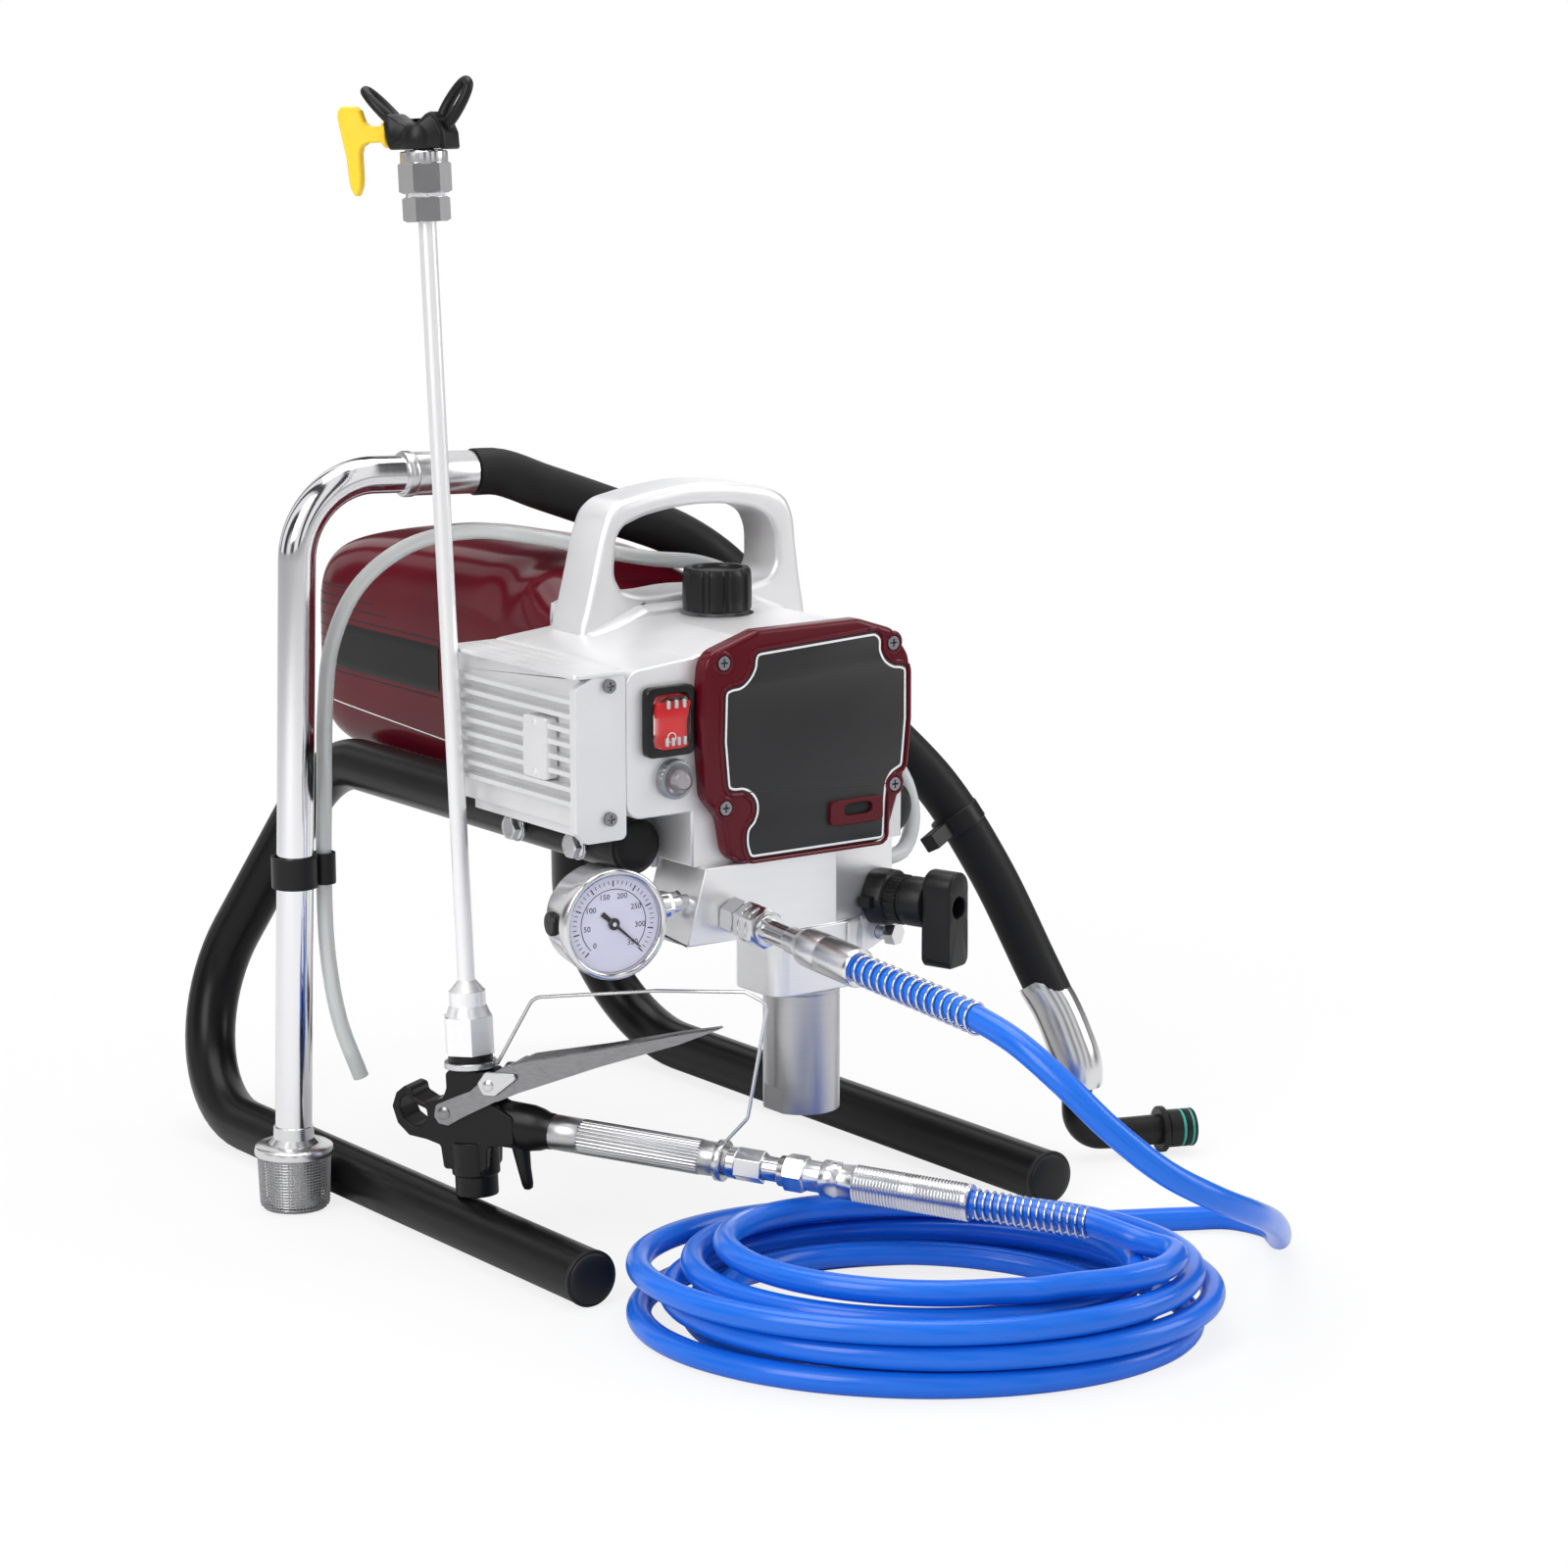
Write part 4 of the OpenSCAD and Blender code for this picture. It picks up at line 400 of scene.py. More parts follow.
suction_d = 28.0
suction_start = np.array([-82, 243, 437.0])
suction_dir = unit(suction_start - np.array([-195, 254, 441.0]))
suction_route = np.vstack([
    suction_start + suction_dir * 0.3, suction_start + suction_dir * 14,
    [[-40, 232, 426], [0, 216, 410], [40, 202, 393], [62, 197, 378], [84, 193, 357],
     [115, 173, 319], [150, 151, 275], [180, 128, 235], [205, 106, 183], [225, 88, 128],
     [236, 70, 86], [240, 60, 60], [240, 60, 52]]])
suction_path = smooth(suction_route, 6) + machine_at
rubber = material("black hose rubber", (0.011, 0.011, 0.012), 0.5, vary=0.25, cloud=60,
                  spread=0.2, grain=420, depth=0.00006, Specular_IOR_Level=0.22)
suction_hose = dress(
    tube("suction_hose_rubber", suction_path, suction_d / 2, 32, (0.45, 0.85, 0.1)), rubber,
    replaces=["suction_hose"])

elbow_end = np.array([312, 33.0])
elbow_plan = unit(elbow_end - np.array([240, 60.0]))


def eased(points, radius, steps=2, closed=False):
    """Rounds the corners of an outline: each corner becomes a short arc of that radius."""
    p = np.asarray(points, float)
    count = len(p)
    made = []
    for i in range(count):
        if not closed and i in (0, count - 1):
            made.append(p[i])
            continue
        a, b, c = p[i - 1], p[i], p[(i + 1) % count]
        r = radius[i] if np.ndim(radius) else radius
        u, v = unit(a - b), unit(c - b)
        half = math.acos(float(np.clip(u @ v, -0.99999, 0.99999))) / 2
        if r <= 0 or half > 1.55 or half < 0.02:
            made.append(b)
            continue
        d = min(r / math.tan(half), 0.48 * np.linalg.norm(a - b), 0.48 * np.linalg.norm(c - b))
        q = d * math.tan(half)
        middle = b + unit(u + v) * q / math.sin(half)
        s, e = b + u * d - middle, b + v * d - middle
        w = math.pi - 2 * half
        for k in range(steps + 1):
            f = k / steps
            made.append(middle + (math.sin((1 - f) * w) * s + math.sin(f * w) * e) / math.sin(w))
    return np.array(made)


elbow_turn = np.vstack([eased([[240, 60, 51.0], [240, 60, 15.5], [312, 33, 15.5]],
                              [0, 20, 0], 14)[:-1],
                        [[*(elbow_end - elbow_plan * s), 15.5] for s in (22, 3)]])
elbow_axis = Matrix(((0, -elbow_plan[1], elbow_plan[0], 0), (0, elbow_plan[0], elbow_plan[1], 0),
                     (-1, 0, 0, 0), (0, 0, 0, 1)))
elbow_tip = seat(*elbow_end, 15.5) @ elbow_axis
black_nylon = material("black moulded nylon", (0.009, 0.009, 0.0095), 0.36, vary=0.15, cloud=80,
                       spread=0.14, grain=1200, depth=0.000015, Specular_IOR_Level=0.25)
elbow_path = smooth(elbow_turn, 2) + machine_at
elbow = dress(
    shells("suction_elbow_body", [
        tube_grid(elbow_path, 9.5, 32) * 0.001,
        lathe([[0, -23], [14, -23], [14.5, -22.5], [14.5, -19.5], [14, -19], [9.6, -19],
               [9.6, -17.5], [11.9, -17.5], [11.9, -9.5], [9.4, -9.5], [9.4, -7.5],
               [9.4, -7], [11.9, -7], [11.9, -3.6], [9.4, -3.6], [9.4, -1.6], [12, -1.6],
               [12, -0.6], [11.5, 0], [6.5, 0], [6.5, -12], [0, -12]], elbow_tip)]),
    black_nylon, replaces=["suction_elbow"])

ring_rubber = material("green seal rubber", (0.02, 0.32, 0.26), 0.4, vary=0.1, cloud=200,
                       grain=1500, depth=0.00001)


def hoop(radius, wire, height, place, sides=12):
    """A round ring: a circle of that wire radius carried round a larger circle."""
    a = np.linspace(0, 2 * np.pi, 65)
    path = about_z(radius, a, height)
    b = round_angles(sides)
    out = about_z(1.0, a, 0.0)
    grid = (path[:, None] + wire * (np.cos(b)[:, None] * out[:, None]
                                    + np.sin(b)[:, None] * np.array([0, 0, 1.0])))
    return carry(grid, place)


seals = dress(shells("suction_o_rings", [hoop(10.4, 1.5, -8.4, elbow_tip),
                                         hoop(10.4, 1.5, -2.6, elbow_tip)], capped=False),
              ring_rubber)
pressed_steel = material("pressed bright ferrule", (0.7, 0.7, 0.71), 0.24, 1.0, vary=0.05,
                         cloud=60, spread=0.12, grain=500, depth=0.000008)
lower_end = smooth([[228, 84, 113], [234, 74.5, 96], [237.5, 66, 78], [240, 60, 60],
                    [240, 60, 49]], 3)
cuff = np.r_[14.15, np.linspace(14.7, 15.6, len(lower_end) - 2), 15.2]
lower_ferrule = dress(
    shells("suction_hose_ferrule", [tube_grid(lower_end + machine_at, cuff, 48) * 0.001]),
    pressed_steel)

# ---- Return tube --------------------------------------------------------------------------
# Thin milky tube that takes paint back from the prime valve, through the clips on the suction
# pipe, to the bucket. Its wall is clear enough to show the light behind it.

return_route = [[83.3, 62, 212], [92, 62, 212], [105, 65, 214], [115, 69, 228], [117, 76, 249],
                [110, 92, 272], [97, 122, 293], [87, 146, 318], [84, 160, 338],
                [79, 171.5, 354], [62, 173.5, 369], [36, 175.5, 380], [3, 182, 385],
                [-25, 196, 391], [-52, 216, 398], [-85, 240, 402], [-118, 258, 394],
                [-148, 267, 371], [-166, 268, 338], [-174, 264, 300], [-178, 260, 255],
                [-180.5, 258, 216], [-181, 257.5, 196], [-181, 254, 150], [-176, 250, 112],
                [-165, 246, 78]]
return_path = smooth(return_route, 5) + machine_at
milky = material("milky tube", (0.72, 0.75, 0.75), 0.24, vary=0.06, cloud=50, spread=0.1,
                 grain=400, depth=0.00001, Transmission_Weight=0.35, IOR=1.4,
                 Subsurface_Weight=0.3, Subsurface_Scale=0.004)
end_dir = unit(return_path[-1] - return_path[-2])
hollow = np.concatenate([tube_grid(return_path, 4.75, 20),
                         tube_grid(np.array([return_path[-1] - end_dir * s for s in
                                             (0, 1, 14)]), 3.2, 20)])
return_tube = dress(shells("return_tube_clear", [hollow * 0.001]), milky,
                    replaces=["return_tube"])

# ---- Skids --------------------------------------------------------------------------------
# Steel tube, bent twice on each side so that its foot and its rail lie in one leaning plane,
# and powder coated satin black. Both rails are bolted to the drive housing.

satin_black = material("satin black powder coat", (0.005, 0.005, 0.0055), 0.3, vary=0.12,
                       cloud=30, spread=0.1, grain=1400, depth=0.000012, Specular_IOR_Level=0.2)


def skid_tube(name, side, replaced):
    """The skid's bar: straight runs joined by arcs of 80 and 60 mm, mirrored by side."""
    route = np.array([[-166, 0, 16], [-166, 510, 16], [-91.5, 400, 242], [-91.5, 63, 242.0]])
    route[:, 0] *= -side
    path = eased(route, [0, 80, 60, 0], 20) + machine_at
    lean = unit(np.array([226.0, 0, 74.5 * side]))
    return dress(tube(name, path, 16, 64, lean), satin_black,
                 replaces=[replaced])


skid_tube("skid_left_tube", -1, "left_skid")
skid_tube("skid_right_tube", 1, "right_skid")

# ---- Skid plugs ---------------------------------------------------------------------------
# Moulded black rubber plugs pushed into the tubes' ends: nearly flat ones on the floor, and
# domed ones on the rails, each with a rolled rim over the tube's end.

plug_rubber = material("black plug rubber", (0.012, 0.012, 0.0125), 0.45, vary=0.2, cloud=110,
                       spread=0.18, grain=900, depth=0.00003, Specular_IOR_Level=0.25)


def domed(radius, base, height, steps):
    """Profile of a dome: the quarter of an ellipse, from its rim to its top on the axis."""
    k = np.linspace(0, np.pi / 2, steps)
    profile = np.stack([radius * np.cos(k), base + height * np.sin(k)], axis=1)
    profile[-1, 0] = 0
    return profile


def plug(x, y, z, dome):
    """A plug's outline turned about the tube: rim, groove, then a dome of that height."""
    profile = np.vstack([[[0, -12], [13.6, -12], [13.8, -11], [13.8, 0.05], [16.1, 0.05],
                          [16.4, 0.6], [16.4, 2.2], [16.0, 2.8], [15.2, 3.0], [14.9, 2.9]],
                         domed(14.6, 3.4, dome, 12)])
    return lathe(profile, seat(x, y, z) @ turn("X", 90))


dress(shells("skid_end_plugs", [plug(-166, 0, 16, 2.2), plug(166, 0, 16, 2.2),
                                plug(-91.5, 63, 242, 5.5), plug(91.5, 63, 242, 5.5)], 30),
      plug_rubber, replaces=["skid_caps"])

# ---- Mounting bolts -----------------------------------------------------------------------
# Flanged hex bolts through the rails into the housing, zinc plated, each on a flat washer.
# Two hold each rail, and their heads are outside.

zinc = material("bright zinc plate", (0.66, 0.66, 0.67), 0.28, 1.0, vary=0.06, cloud=120,
                spread=0.16, grain=800, depth=0.00001)


def bolt(side, y):
    """A washer, a flange, a hexagon with a shallow dished top, and the bolt's shank."""
    place = seat(side * 107.8, y, 239) @ turn("Y", side * 90)
    return [lathe([[0, 0], [8.3, 0], [8.5, 0.2], [8.5, 1.3], [8.2, 1.6], [0, 1.6]], place),
            lathe([[0, 1.55], [7.6, 1.6], [7.9, 2.2], [6.6, 3.1], [0, 3.1]], place),
            nut(13, 1.7, 7.1, place, bore=4.6),
            lathe([[0, 6.4], [4.7, 6.5], [4.7, 5.6], [0, 5.6]], place, 32),
            lathe([[0, -30], [3.9, -30], [4, -29], [4, 0.1], [0, 0.1]], place, 32)]


dress(shells("skid_mounting_bolts", [g for side in (-1, 1) for y in (94, 158)
                                     for g in bolt(side, y)], 30),
      zinc, replaces=["mounting_bolts"])

# ---- Drive housing ------------------------------------------------------------------------
# One aluminium casting: the gear case with the carrying handle on its back, its sides as cast
# and a little grainy, its edges rubbed round. The rails, covers and pump are bolted to it.


def outside(p):
    """Bevel weight: the case's outer rims, and not its inner rooms."""
    return 1.0 if p.y < 29 and p.x > 70 or p.y > 171 or abs(p.x) > 73 else 0.0


def of_handle(p):
    """True for the faces of the handle, which is modelled anew with its rounded section."""
    return p.z > 366.5 or p.z > 353 and abs(p.x) > 77


cast = material("cast aluminium", (0.8, 0.8, 0.81), 0.42, 0.62, vary=0.08, cloud=18,
                spread=0.16, grain=1100, depth=0.00003)

outer_line = [[-80.5, 346], [-79.5, 356], [-76.4, 366], [-70.5, 388], [-63.6, 413], [-60, 421],
              [-53, 427], [-40, 430.4], [-20, 433.4], [2, 435.2], [25, 434], [45, 431],
              [60, 427], [68, 421.5], [72, 414], [75.3, 393], [78.6, 370], [81, 357],
              [82, 346], [40, 344], [0, 344], [-40, 344], [-80.5, 346]]
inner_line = [[-51.5, 377], [-55.4, 384], [-55.6, 396], [-53.8, 408], [-50, 413], [-42, 416.4],
              [-15, 421.6], [5, 422.6], [30, 420.4], [46, 416.4], [54, 411.6], [58.4, 404],
              [59.8, 392], [58.6, 381], [54, 375.4], [45, 373], [0, 372.6], [-42, 373.4],
              [-51.5, 377]]


def round_ring(line):
    """The line's points at even angles about the handle's middle, from its own spline."""
    middle_x, middle_z = 2, 392
    p = smooth(line, 1.5)
    a = np.unwrap(np.arctan2(p[:, 1] - middle_z, p[:, 0] - middle_x))
    r = np.hypot(p[:, 0] - middle_x, p[:, 1] - middle_z)
    order = np.argsort(a)
    at = np.linspace(a[order][0], a[order][0] + 2 * np.pi, 220, endpoint=False)
    far = np.interp(at, a[order], r[order])
    return np.stack([middle_x + far * np.cos(at), middle_z + far * np.sin(at)], axis=1)[
        np.argsort(at % (2 * np.pi), kind="stable")]


outer_ring, inner_ring = round_ring(outer_line), round_ring(inner_line)
k = np.linspace(0, np.pi / 2, 6)
section = [(outer_ring, 5.5 * (1 - math.sin(a)), 129.6 + 5.5 * (1 - math.cos(a))) for a in k]
section += [(outer_ring, 6 * (1 - math.cos(a)), 166.4 - 6 * (1 - math.sin(a))) for a in k]
section += [(inner_ring, -4 * (1 - math.sin(a)), 166.4 - 4 * (1 - math.cos(a))) for a in k]
section += [(inner_ring, -4 * (1 - math.cos(a)), 129.6 + 4 * (1 - math.sin(a))) for a in k]


def inset(outline, d):
    """A closed outline moved inwards by d along the mitre of each corner's two edges."""
    p = np.asarray(outline, float)
    after = np.roll(p, -1, axis=0)
    if (p[:, 0] * after[:, 1] - after[:, 0] * p[:, 1]).sum() < 0:
        return inset(p[::-1], d)[::-1]
    e = unit(after - p)
    n = np.stack([-e[:, 1], e[:, 0]], axis=1)
    m = unit(n + np.roll(n, 1, axis=0))
    return p + m * (d / np.maximum((m * n).sum(axis=1), 0.5))[:, None]


handle = np.stack([np.insert(inset(line, d), 1, y, axis=1) for line, d, y in
                   section + section[:1]])

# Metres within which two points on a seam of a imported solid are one
seam_gap = 2e-6


def finished_copy(name, source, width, rule=None, segments=2, drop=None):
    """A CAD node's mesh with its seams joined and its flat runs made one face, and a bevel of
    that width on each edge that turns enough, as the rule allows. The faces for which drop is
    true are left out, and the holes they leave are closed."""
    flat, least = math.radians(0.6), math.radians(25)
    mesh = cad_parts[source].data.copy()
    mesh.name = name
    mesh.materials.clear()
    if "custom_normal" in mesh.attributes:
        mesh.attributes.remove(mesh.attributes["custom_normal"])
    work = bmesh.new()
    work.from_mesh(mesh)
    bmesh.ops.remove_doubles(work, verts=work.verts, dist=seam_gap)
    bmesh.ops.dissolve_limit(work, angle_limit=flat, verts=work.verts,
                             edges=work.edges)
    if drop is not None:
        bmesh.ops.delete(work, geom=[f for f in work.faces if drop(
            f.calc_center_median() * 1000 - Vector(machine_at))], context="FACES")
        bmesh.ops.holes_fill(work, edges=[e for e in work.edges if len(e.link_faces) == 1])
    weight = work.edges.layers.float.new("bevel_weight_edge")
    for edge in work.edges:
        if len(edge.link_faces) == 2 and edge.calc_face_angle(0) > least:
            middle = (edge.verts[0].co + edge.verts[1].co) * 500 - Vector(machine_at)
            edge[weight] = 1.0 if rule is None else rule(middle)
    bmesh.ops.recalc_face_normals(work, faces=work.faces)
    work.to_mesh(mesh)
    work.free()
    piece = link(name, mesh, 24)
    if width:
        bevel = piece.modifiers.new("eased edges", "BEVEL")
        bevel.limit_method = "WEIGHT"
        bevel.width = width * 0.001
        bevel.segments = segments
        bevel.use_clamp_overlap = False
        bevel.harden_normals = True
    return piece


def refine(name, source, width, finish, slot, body="machine", **how):
    """A CAD node's finished copy, dressed, in that node's place."""
    return dress(finished_copy(name, source, width, **how), finish, body, [source])


refine("gear_case_casting", "drive_housing", 1.3, cast, "cast_aluminium", rule=outside,
       drop=of_handle)


def here(points):
    """Machine millimetres to scene metres: the machine's place is added, then scaled."""
    return (np.asarray(points, float) + machine_at) * 0.001


dress(shells("carrying_handle_cast", [here(handle)], capped=False), cast)
foot_line = eased([[-78.6, 340], [-78.6, 351], [-76.4, 354.4], [-40.4, 367.3], [38.4, 367.3],
                   [60.8, 358.2], [77.4, 343.6], [77.4, 340]], 5, 5, closed=True)


def layers(outline, levels, axis=1):
    """Rows of a flat outline, each inset by its amount and set at its height on an axis."""
    return np.stack([np.insert(inset(outline, d), axis, h, axis=1) for d, h in levels])


def stacked(outline, levels, axis=1):
    """Layers of an outline in machine millimetres, put in the scene."""
    return here(layers(outline, levels, axis))


dress(shells("handle_foot_pad", [stacked(foot_line, [
    (3, 121), (1.6, 123.4), (0.7, 125.6), (0.1, 128.4), (0, 131), (0, 165), (0.7, 170),
    (1.6, 171.6)])]), cast)

# ---- Front cover --------------------------------------------------------------------------
# Gloss maroon cover held by four cross-head screws in raised bosses, with a bead moulded round
# a charcoal panel that carries a white pinstripe, and a raised oil port at the lower right.

maroon = material("gloss maroon paint", (0.1, 0.004, 0.011), 0.18, vary=0.1, cloud=14,
                  spread=0.06, grain=160, depth=0.00003, Specular_IOR_Level=0.14,
                  Coat_Weight=0.16, Coat_Roughness=0.05)

cover_line = eased([[-75, 320], [-71, 355], [-36, 366], [37, 366], [61.5, 358], [73, 341],
                    [74, 310], [69.5, 272], [56, 233.3], [-55, 233.3], [-60, 260], [-71, 273]],
                   13, 8, closed=True)


def bay(points):
    """The points of one scalloped corner with a smooth curve through them."""
    return smooth(points, 1.2)


pin_line = np.vstack([
    bay([[41.5, 356], [47.5, 355.6], [49.9, 353.4], [50.6, 346.4], [54.0, 340.2], [60, 336.2],
         [66.4, 334.9], [68.4, 334.0], [68.9, 331.4]]), [[69.0, 305]],
    bay([[66.6, 279.6], [66.0, 277.8], [64.4, 277.0], [59.4, 274.6], [55.7, 269.6],
         [54.3, 262], [53.6, 252.5]]),
    bay([[53.1, 238.6], [52.4, 237.0], [50.4, 236.6]]),
    bay([[-39, 237], [-41, 237.6], [-42, 239.6], [-43.4, 249.6], [-42.9, 252.2],
         [-38.9, 256.5], [-36.6, 262], [-37, 268.4], [-40.4, 273.4], [-46, 276.6],
         [-53.6, 277.4], [-55.7, 278.4], [-56.4, 280.6]]), [[-58.6, 305]],
    bay([[-57.8, 330.6], [-57.2, 332.6], [-55.2, 333.5], [-47.8, 334.6], [-41.2, 339.4],
         [-37.6, 345.6], [-36.9, 350.2], [-35.9, 352.1], [-33.6, 352.7]])])
bead_line = np.insert(inset(pin_line, -3.4), 1, 18.1, axis=1)
bead_line = np.vstack([bead_line, bead_line[:2]]) + machine_at
bosses = [[-60, 350], [60, 350], [-59, 267], [61.5, 267]]


def boss(x, z):
    """A low raised ring round a screw."""
    place = seat(x, 18.0, z) @ turn("X", 90)
    return lathe([[4.4, -1], [4.4, 0.2], [4.8, 0.7], [5.6, 0.9], [6.4, 0.6], [7.0, 0], [7.0, -1]],
                 place, 48)


def rimmed(outline, back, front, radius, steps=5):
    """A slab from back to front whose front edge is a quarter round of that radius."""
    k = np.linspace(0, np.pi / 2, steps)
    return stacked(outline, [(0, back)] + [
        (radius * (1 - math.cos(a)), front + radius * (1 - math.sin(a))) for a in k])


dress(shells("front_cover_shell", [rimmed(cover_line, 28, 18, 3.0)]
             + [tube_grid(bead_line, 1.2, 10, (0, 1, 0)) * 0.001]
             + [boss(*s) for s in bosses], 35),
      maroon, replaces=["front_cover"])

charcoal = material("charcoal panel film", (0.024, 0.024, 0.025), 0.36, vary=0.1, cloud=24,
                    spread=0.08, grain=2200, depth=0.000008, Specular_IOR_Level=0.3)
step = np.array([[-44.5, 17.7, 274.5], [5, 17.7, 271.2], [55, 17.7, 268.0]]) + machine_at
dress(shells("front_panel", [rimmed(inset(pin_line, -1.5), 18.4, 17.7, 0.3, 3),
                             tube_grid(step, 0.3, 8, (0, 1, 0)) * 0.001], 35), charcoal,
      replaces=["cover_plate"])
pale_line = material("white pinstripe", (0.9, 0.9, 0.89), 0.4, vary=0.1, cloud=90, grain=900,
                     depth=0.00001)
stripe = stacked(pin_line, [(-0.6, 17.72), (-0.6, 17.6), (0.65, 17.6), (0.65, 17.72)])
round_again = list(range(len(pin_line))) + [0]
dress(shells("front_panel_pinstripe", [stripe.transpose(1, 0, 2)[round_again]], 35,
             capped=False), pale_line)
screw_steel = material("dark plated screw", (0.26, 0.26, 0.28), 0.26, 1.0, vary=0.06,
                       cloud=200, spread=0.14, grain=900, depth=0.00001)
refine("cross_head_screws", "housing_screws", 0.2, screw_steel, "bolt_steel")

port = (32.8, 254.8)
mouth = (33.6, 256.2)


def squared(a, b, power, y, at, count=96):
    """A rounded rectangle round a point: x = a |cos|^(2/n), z = b |sin|^(2/n), with signs."""
    t = round_angles(count)
    x = a * np.sign(np.cos(t)) * np.abs(np.cos(t)) ** (2 / power)
    z = b * np.sign(np.sin(t)) * np.abs(np.sin(t)) ** (2 / power)
    return np.stack([x + at[0], np.full(count, float(y)), z + at[1]], axis=1)


dress(shells("oil_port_frame", [here(np.stack([
    squared(18.9, 7.3, 9, 18.2, port), squared(18.9, 7.3, 9, 15.6, port),
    squared(18.4, 6.8, 8, 15.05, port), squared(10.6, 4.0, 3, 15.05, mouth),
    squared(10.2, 3.6, 3, 15.5, mouth), squared(10.2, 3.6, 3, 17.9, mouth)]))], 30),
      maroon, replaces=["oil_port"])
dress(shells("oil_port_mouth", [here(np.stack([
    squared(10.1, 3.5, 3, 17.9, mouth), squared(10.0, 3.4, 3, 17.4, mouth),
    squared(9.4, 2.9, 3, 17.3, mouth)]))], 30), plug_rubber)

# ---- Control box --------------------------------------------------------------------------
# Light grey die-cast box that holds the electronics, with cooling fins on its side, a thin lid
# that overhangs its top, and a blank plate riveted over the fins.

box_cast = material("grey die casting", (0.8, 0.8, 0.81), 0.42, 0.62, vary=0.07, cloud=26,
                    spread=0.14, grain=1300, depth=0.00002)
refine("control_box_casting", "control_box", 0.45, box_cast, "machined_aluminium")
lid_line = eased([[-153.6, 27.4], [-153.6, 162], [-119.5, 162], [-119.5, 27.4]],
                 [3, 3, 0, 0], 5, closed=True)
dress(shells("control_box_lid", [stacked(lid_line, [
    (0.3, 348.2), (0, 348.5), (0, 350.4), (0.3, 350.8)], 2)]), box_cast)
plate_line = squared(12, 17.5, 12, 0, (69, 305), 64)[:, [0, 2]]
side_plate = stacked(plate_line, [(0, -146), (0, -152.9), (0.3, -153.3)], 0)
rivets = [lathe([[2.2, 0], [2.1, 0.5], [1.5, 0.9], [0, 1.1]],
                seat(-153.2, 69, z) @ turn("Y", -90), 24)
          for z in (291, 319)]
dress(shells("fin_side_plate", [side_plate] + rivets), box_cast)

# ---- Mains switch -------------------------------------------------------------------------
# A gloss black bezel snapped into the box, and a red rocker under a soft clear boot that keeps
# paint out; the boot is ribbed at its two ends so that it can follow the rocker.

gloss_black = material("gloss black moulding", (0.008, 0.008, 0.0085), 0.2, vary=0.1, cloud=60,
                       spread=0.06, grain=500, depth=0.000006, Specular_IOR_Level=0.3)
switch = (-92.0, 319.5)
dress(shells("switch_frame", [here(np.stack([
    squared(16.5, 20, 9, 28, switch), squared(16.5, 20, 9, 23.8, switch),
    squared(16.2, 19.7, 9, 23.2, switch), squared(15.4, 18.9, 9, 23, switch),
    squared(12.4, 16.2, 7, 23, switch), squared(11.8, 15.6, 7, 23.6, switch),
    squared(11.6, 15.4, 7, 30, switch)]))], 30), gloss_black,
      replaces=["switch_bezel"])
rocker_place = seat(switch[0], 33, switch[1]) @ turn("X", 8)
k = np.linspace(-1, 1, 21)
z_line = 13 * k
dish = -8.0 - 2.6 * np.abs(k) ** 1.6
red = material("red rocker", (0.78, 0.02, 0.025), 0.3, vary=0.08, cloud=70, spread=0.08,
               grain=700, depth=0.000008, Specular_IOR_Level=0.3)
rocker_rows = []
for x, inner in ((-11, 0.8), (-10.2, 0), (10.2, 0), (11, 0.8)):
    face = np.stack([np.full(21, x), dish + inner, z_line * (1 - 0.05 * inner)], axis=1)
    back = np.array([[x, 4, 9 - inner], [x, 4, -9 + inner]])
    rocker_rows.append(np.vstack([face, back]))
dress(shells("switch_rocker_red", [carry(rocker_rows, rocker_place)], 35), red,
      "switch_rocker", ["switch_rocker"])
mark_place = rocker_place @ shift(0, -9.75, -7.6) @ turn("X", 80)
dress(shells("rocker_off_mark", [hoop(2.6, 0.35, 0, mark_place, 8)], capped=False), pale_line,
      "switch_rocker")
clear_boot = material("clear boot", (0.98, 0.9, 0.9), 0.1, vary=0.03, cloud=80, spread=0.08,
                      grain=500, depth=0.000012, Transmission_Weight=1.0, IOR=1.3)
boot_rows = [squared(11.5, 15.3, 6, 24.2, switch), squared(11.4, 15.2, 6, 20.4, switch),
             squared(10.9, 14.7, 5, 19.2, switch), squared(9.4, 13.0, 4, 18.5, switch),
             squared(4, 6, 3, 18.2, switch)]
dress(shells("switch_boot", [here(boot_rows)], 45), clear_boot)

# Corners of a square round its middle, in order
corner_signs = ((-1, -1), (1, -1), (1, 1), (-1, 1))

ribs = [stacked(eased([[switch[0] + x + 0.9 * i, z + 2.4 * j] for i, j in corner_signs],
                      0.7, 3, True), [(0, 19.8), (0, 18.0), (0.35, 17.6)])
        for x, z in ((-5, 330), (0.4, 330), (5.8, 330), (-6, 309), (-2, 309), (2, 309), (6, 309))]
dress(shells("switch_boot_ribs", ribs, 45), milky)

# ---- Circuit breaker ----------------------------------------------------------------------
# A reset button under a clear domed boot, held by a grey knurled ring nut.
# It sits in the control box's front, under the mains switch.

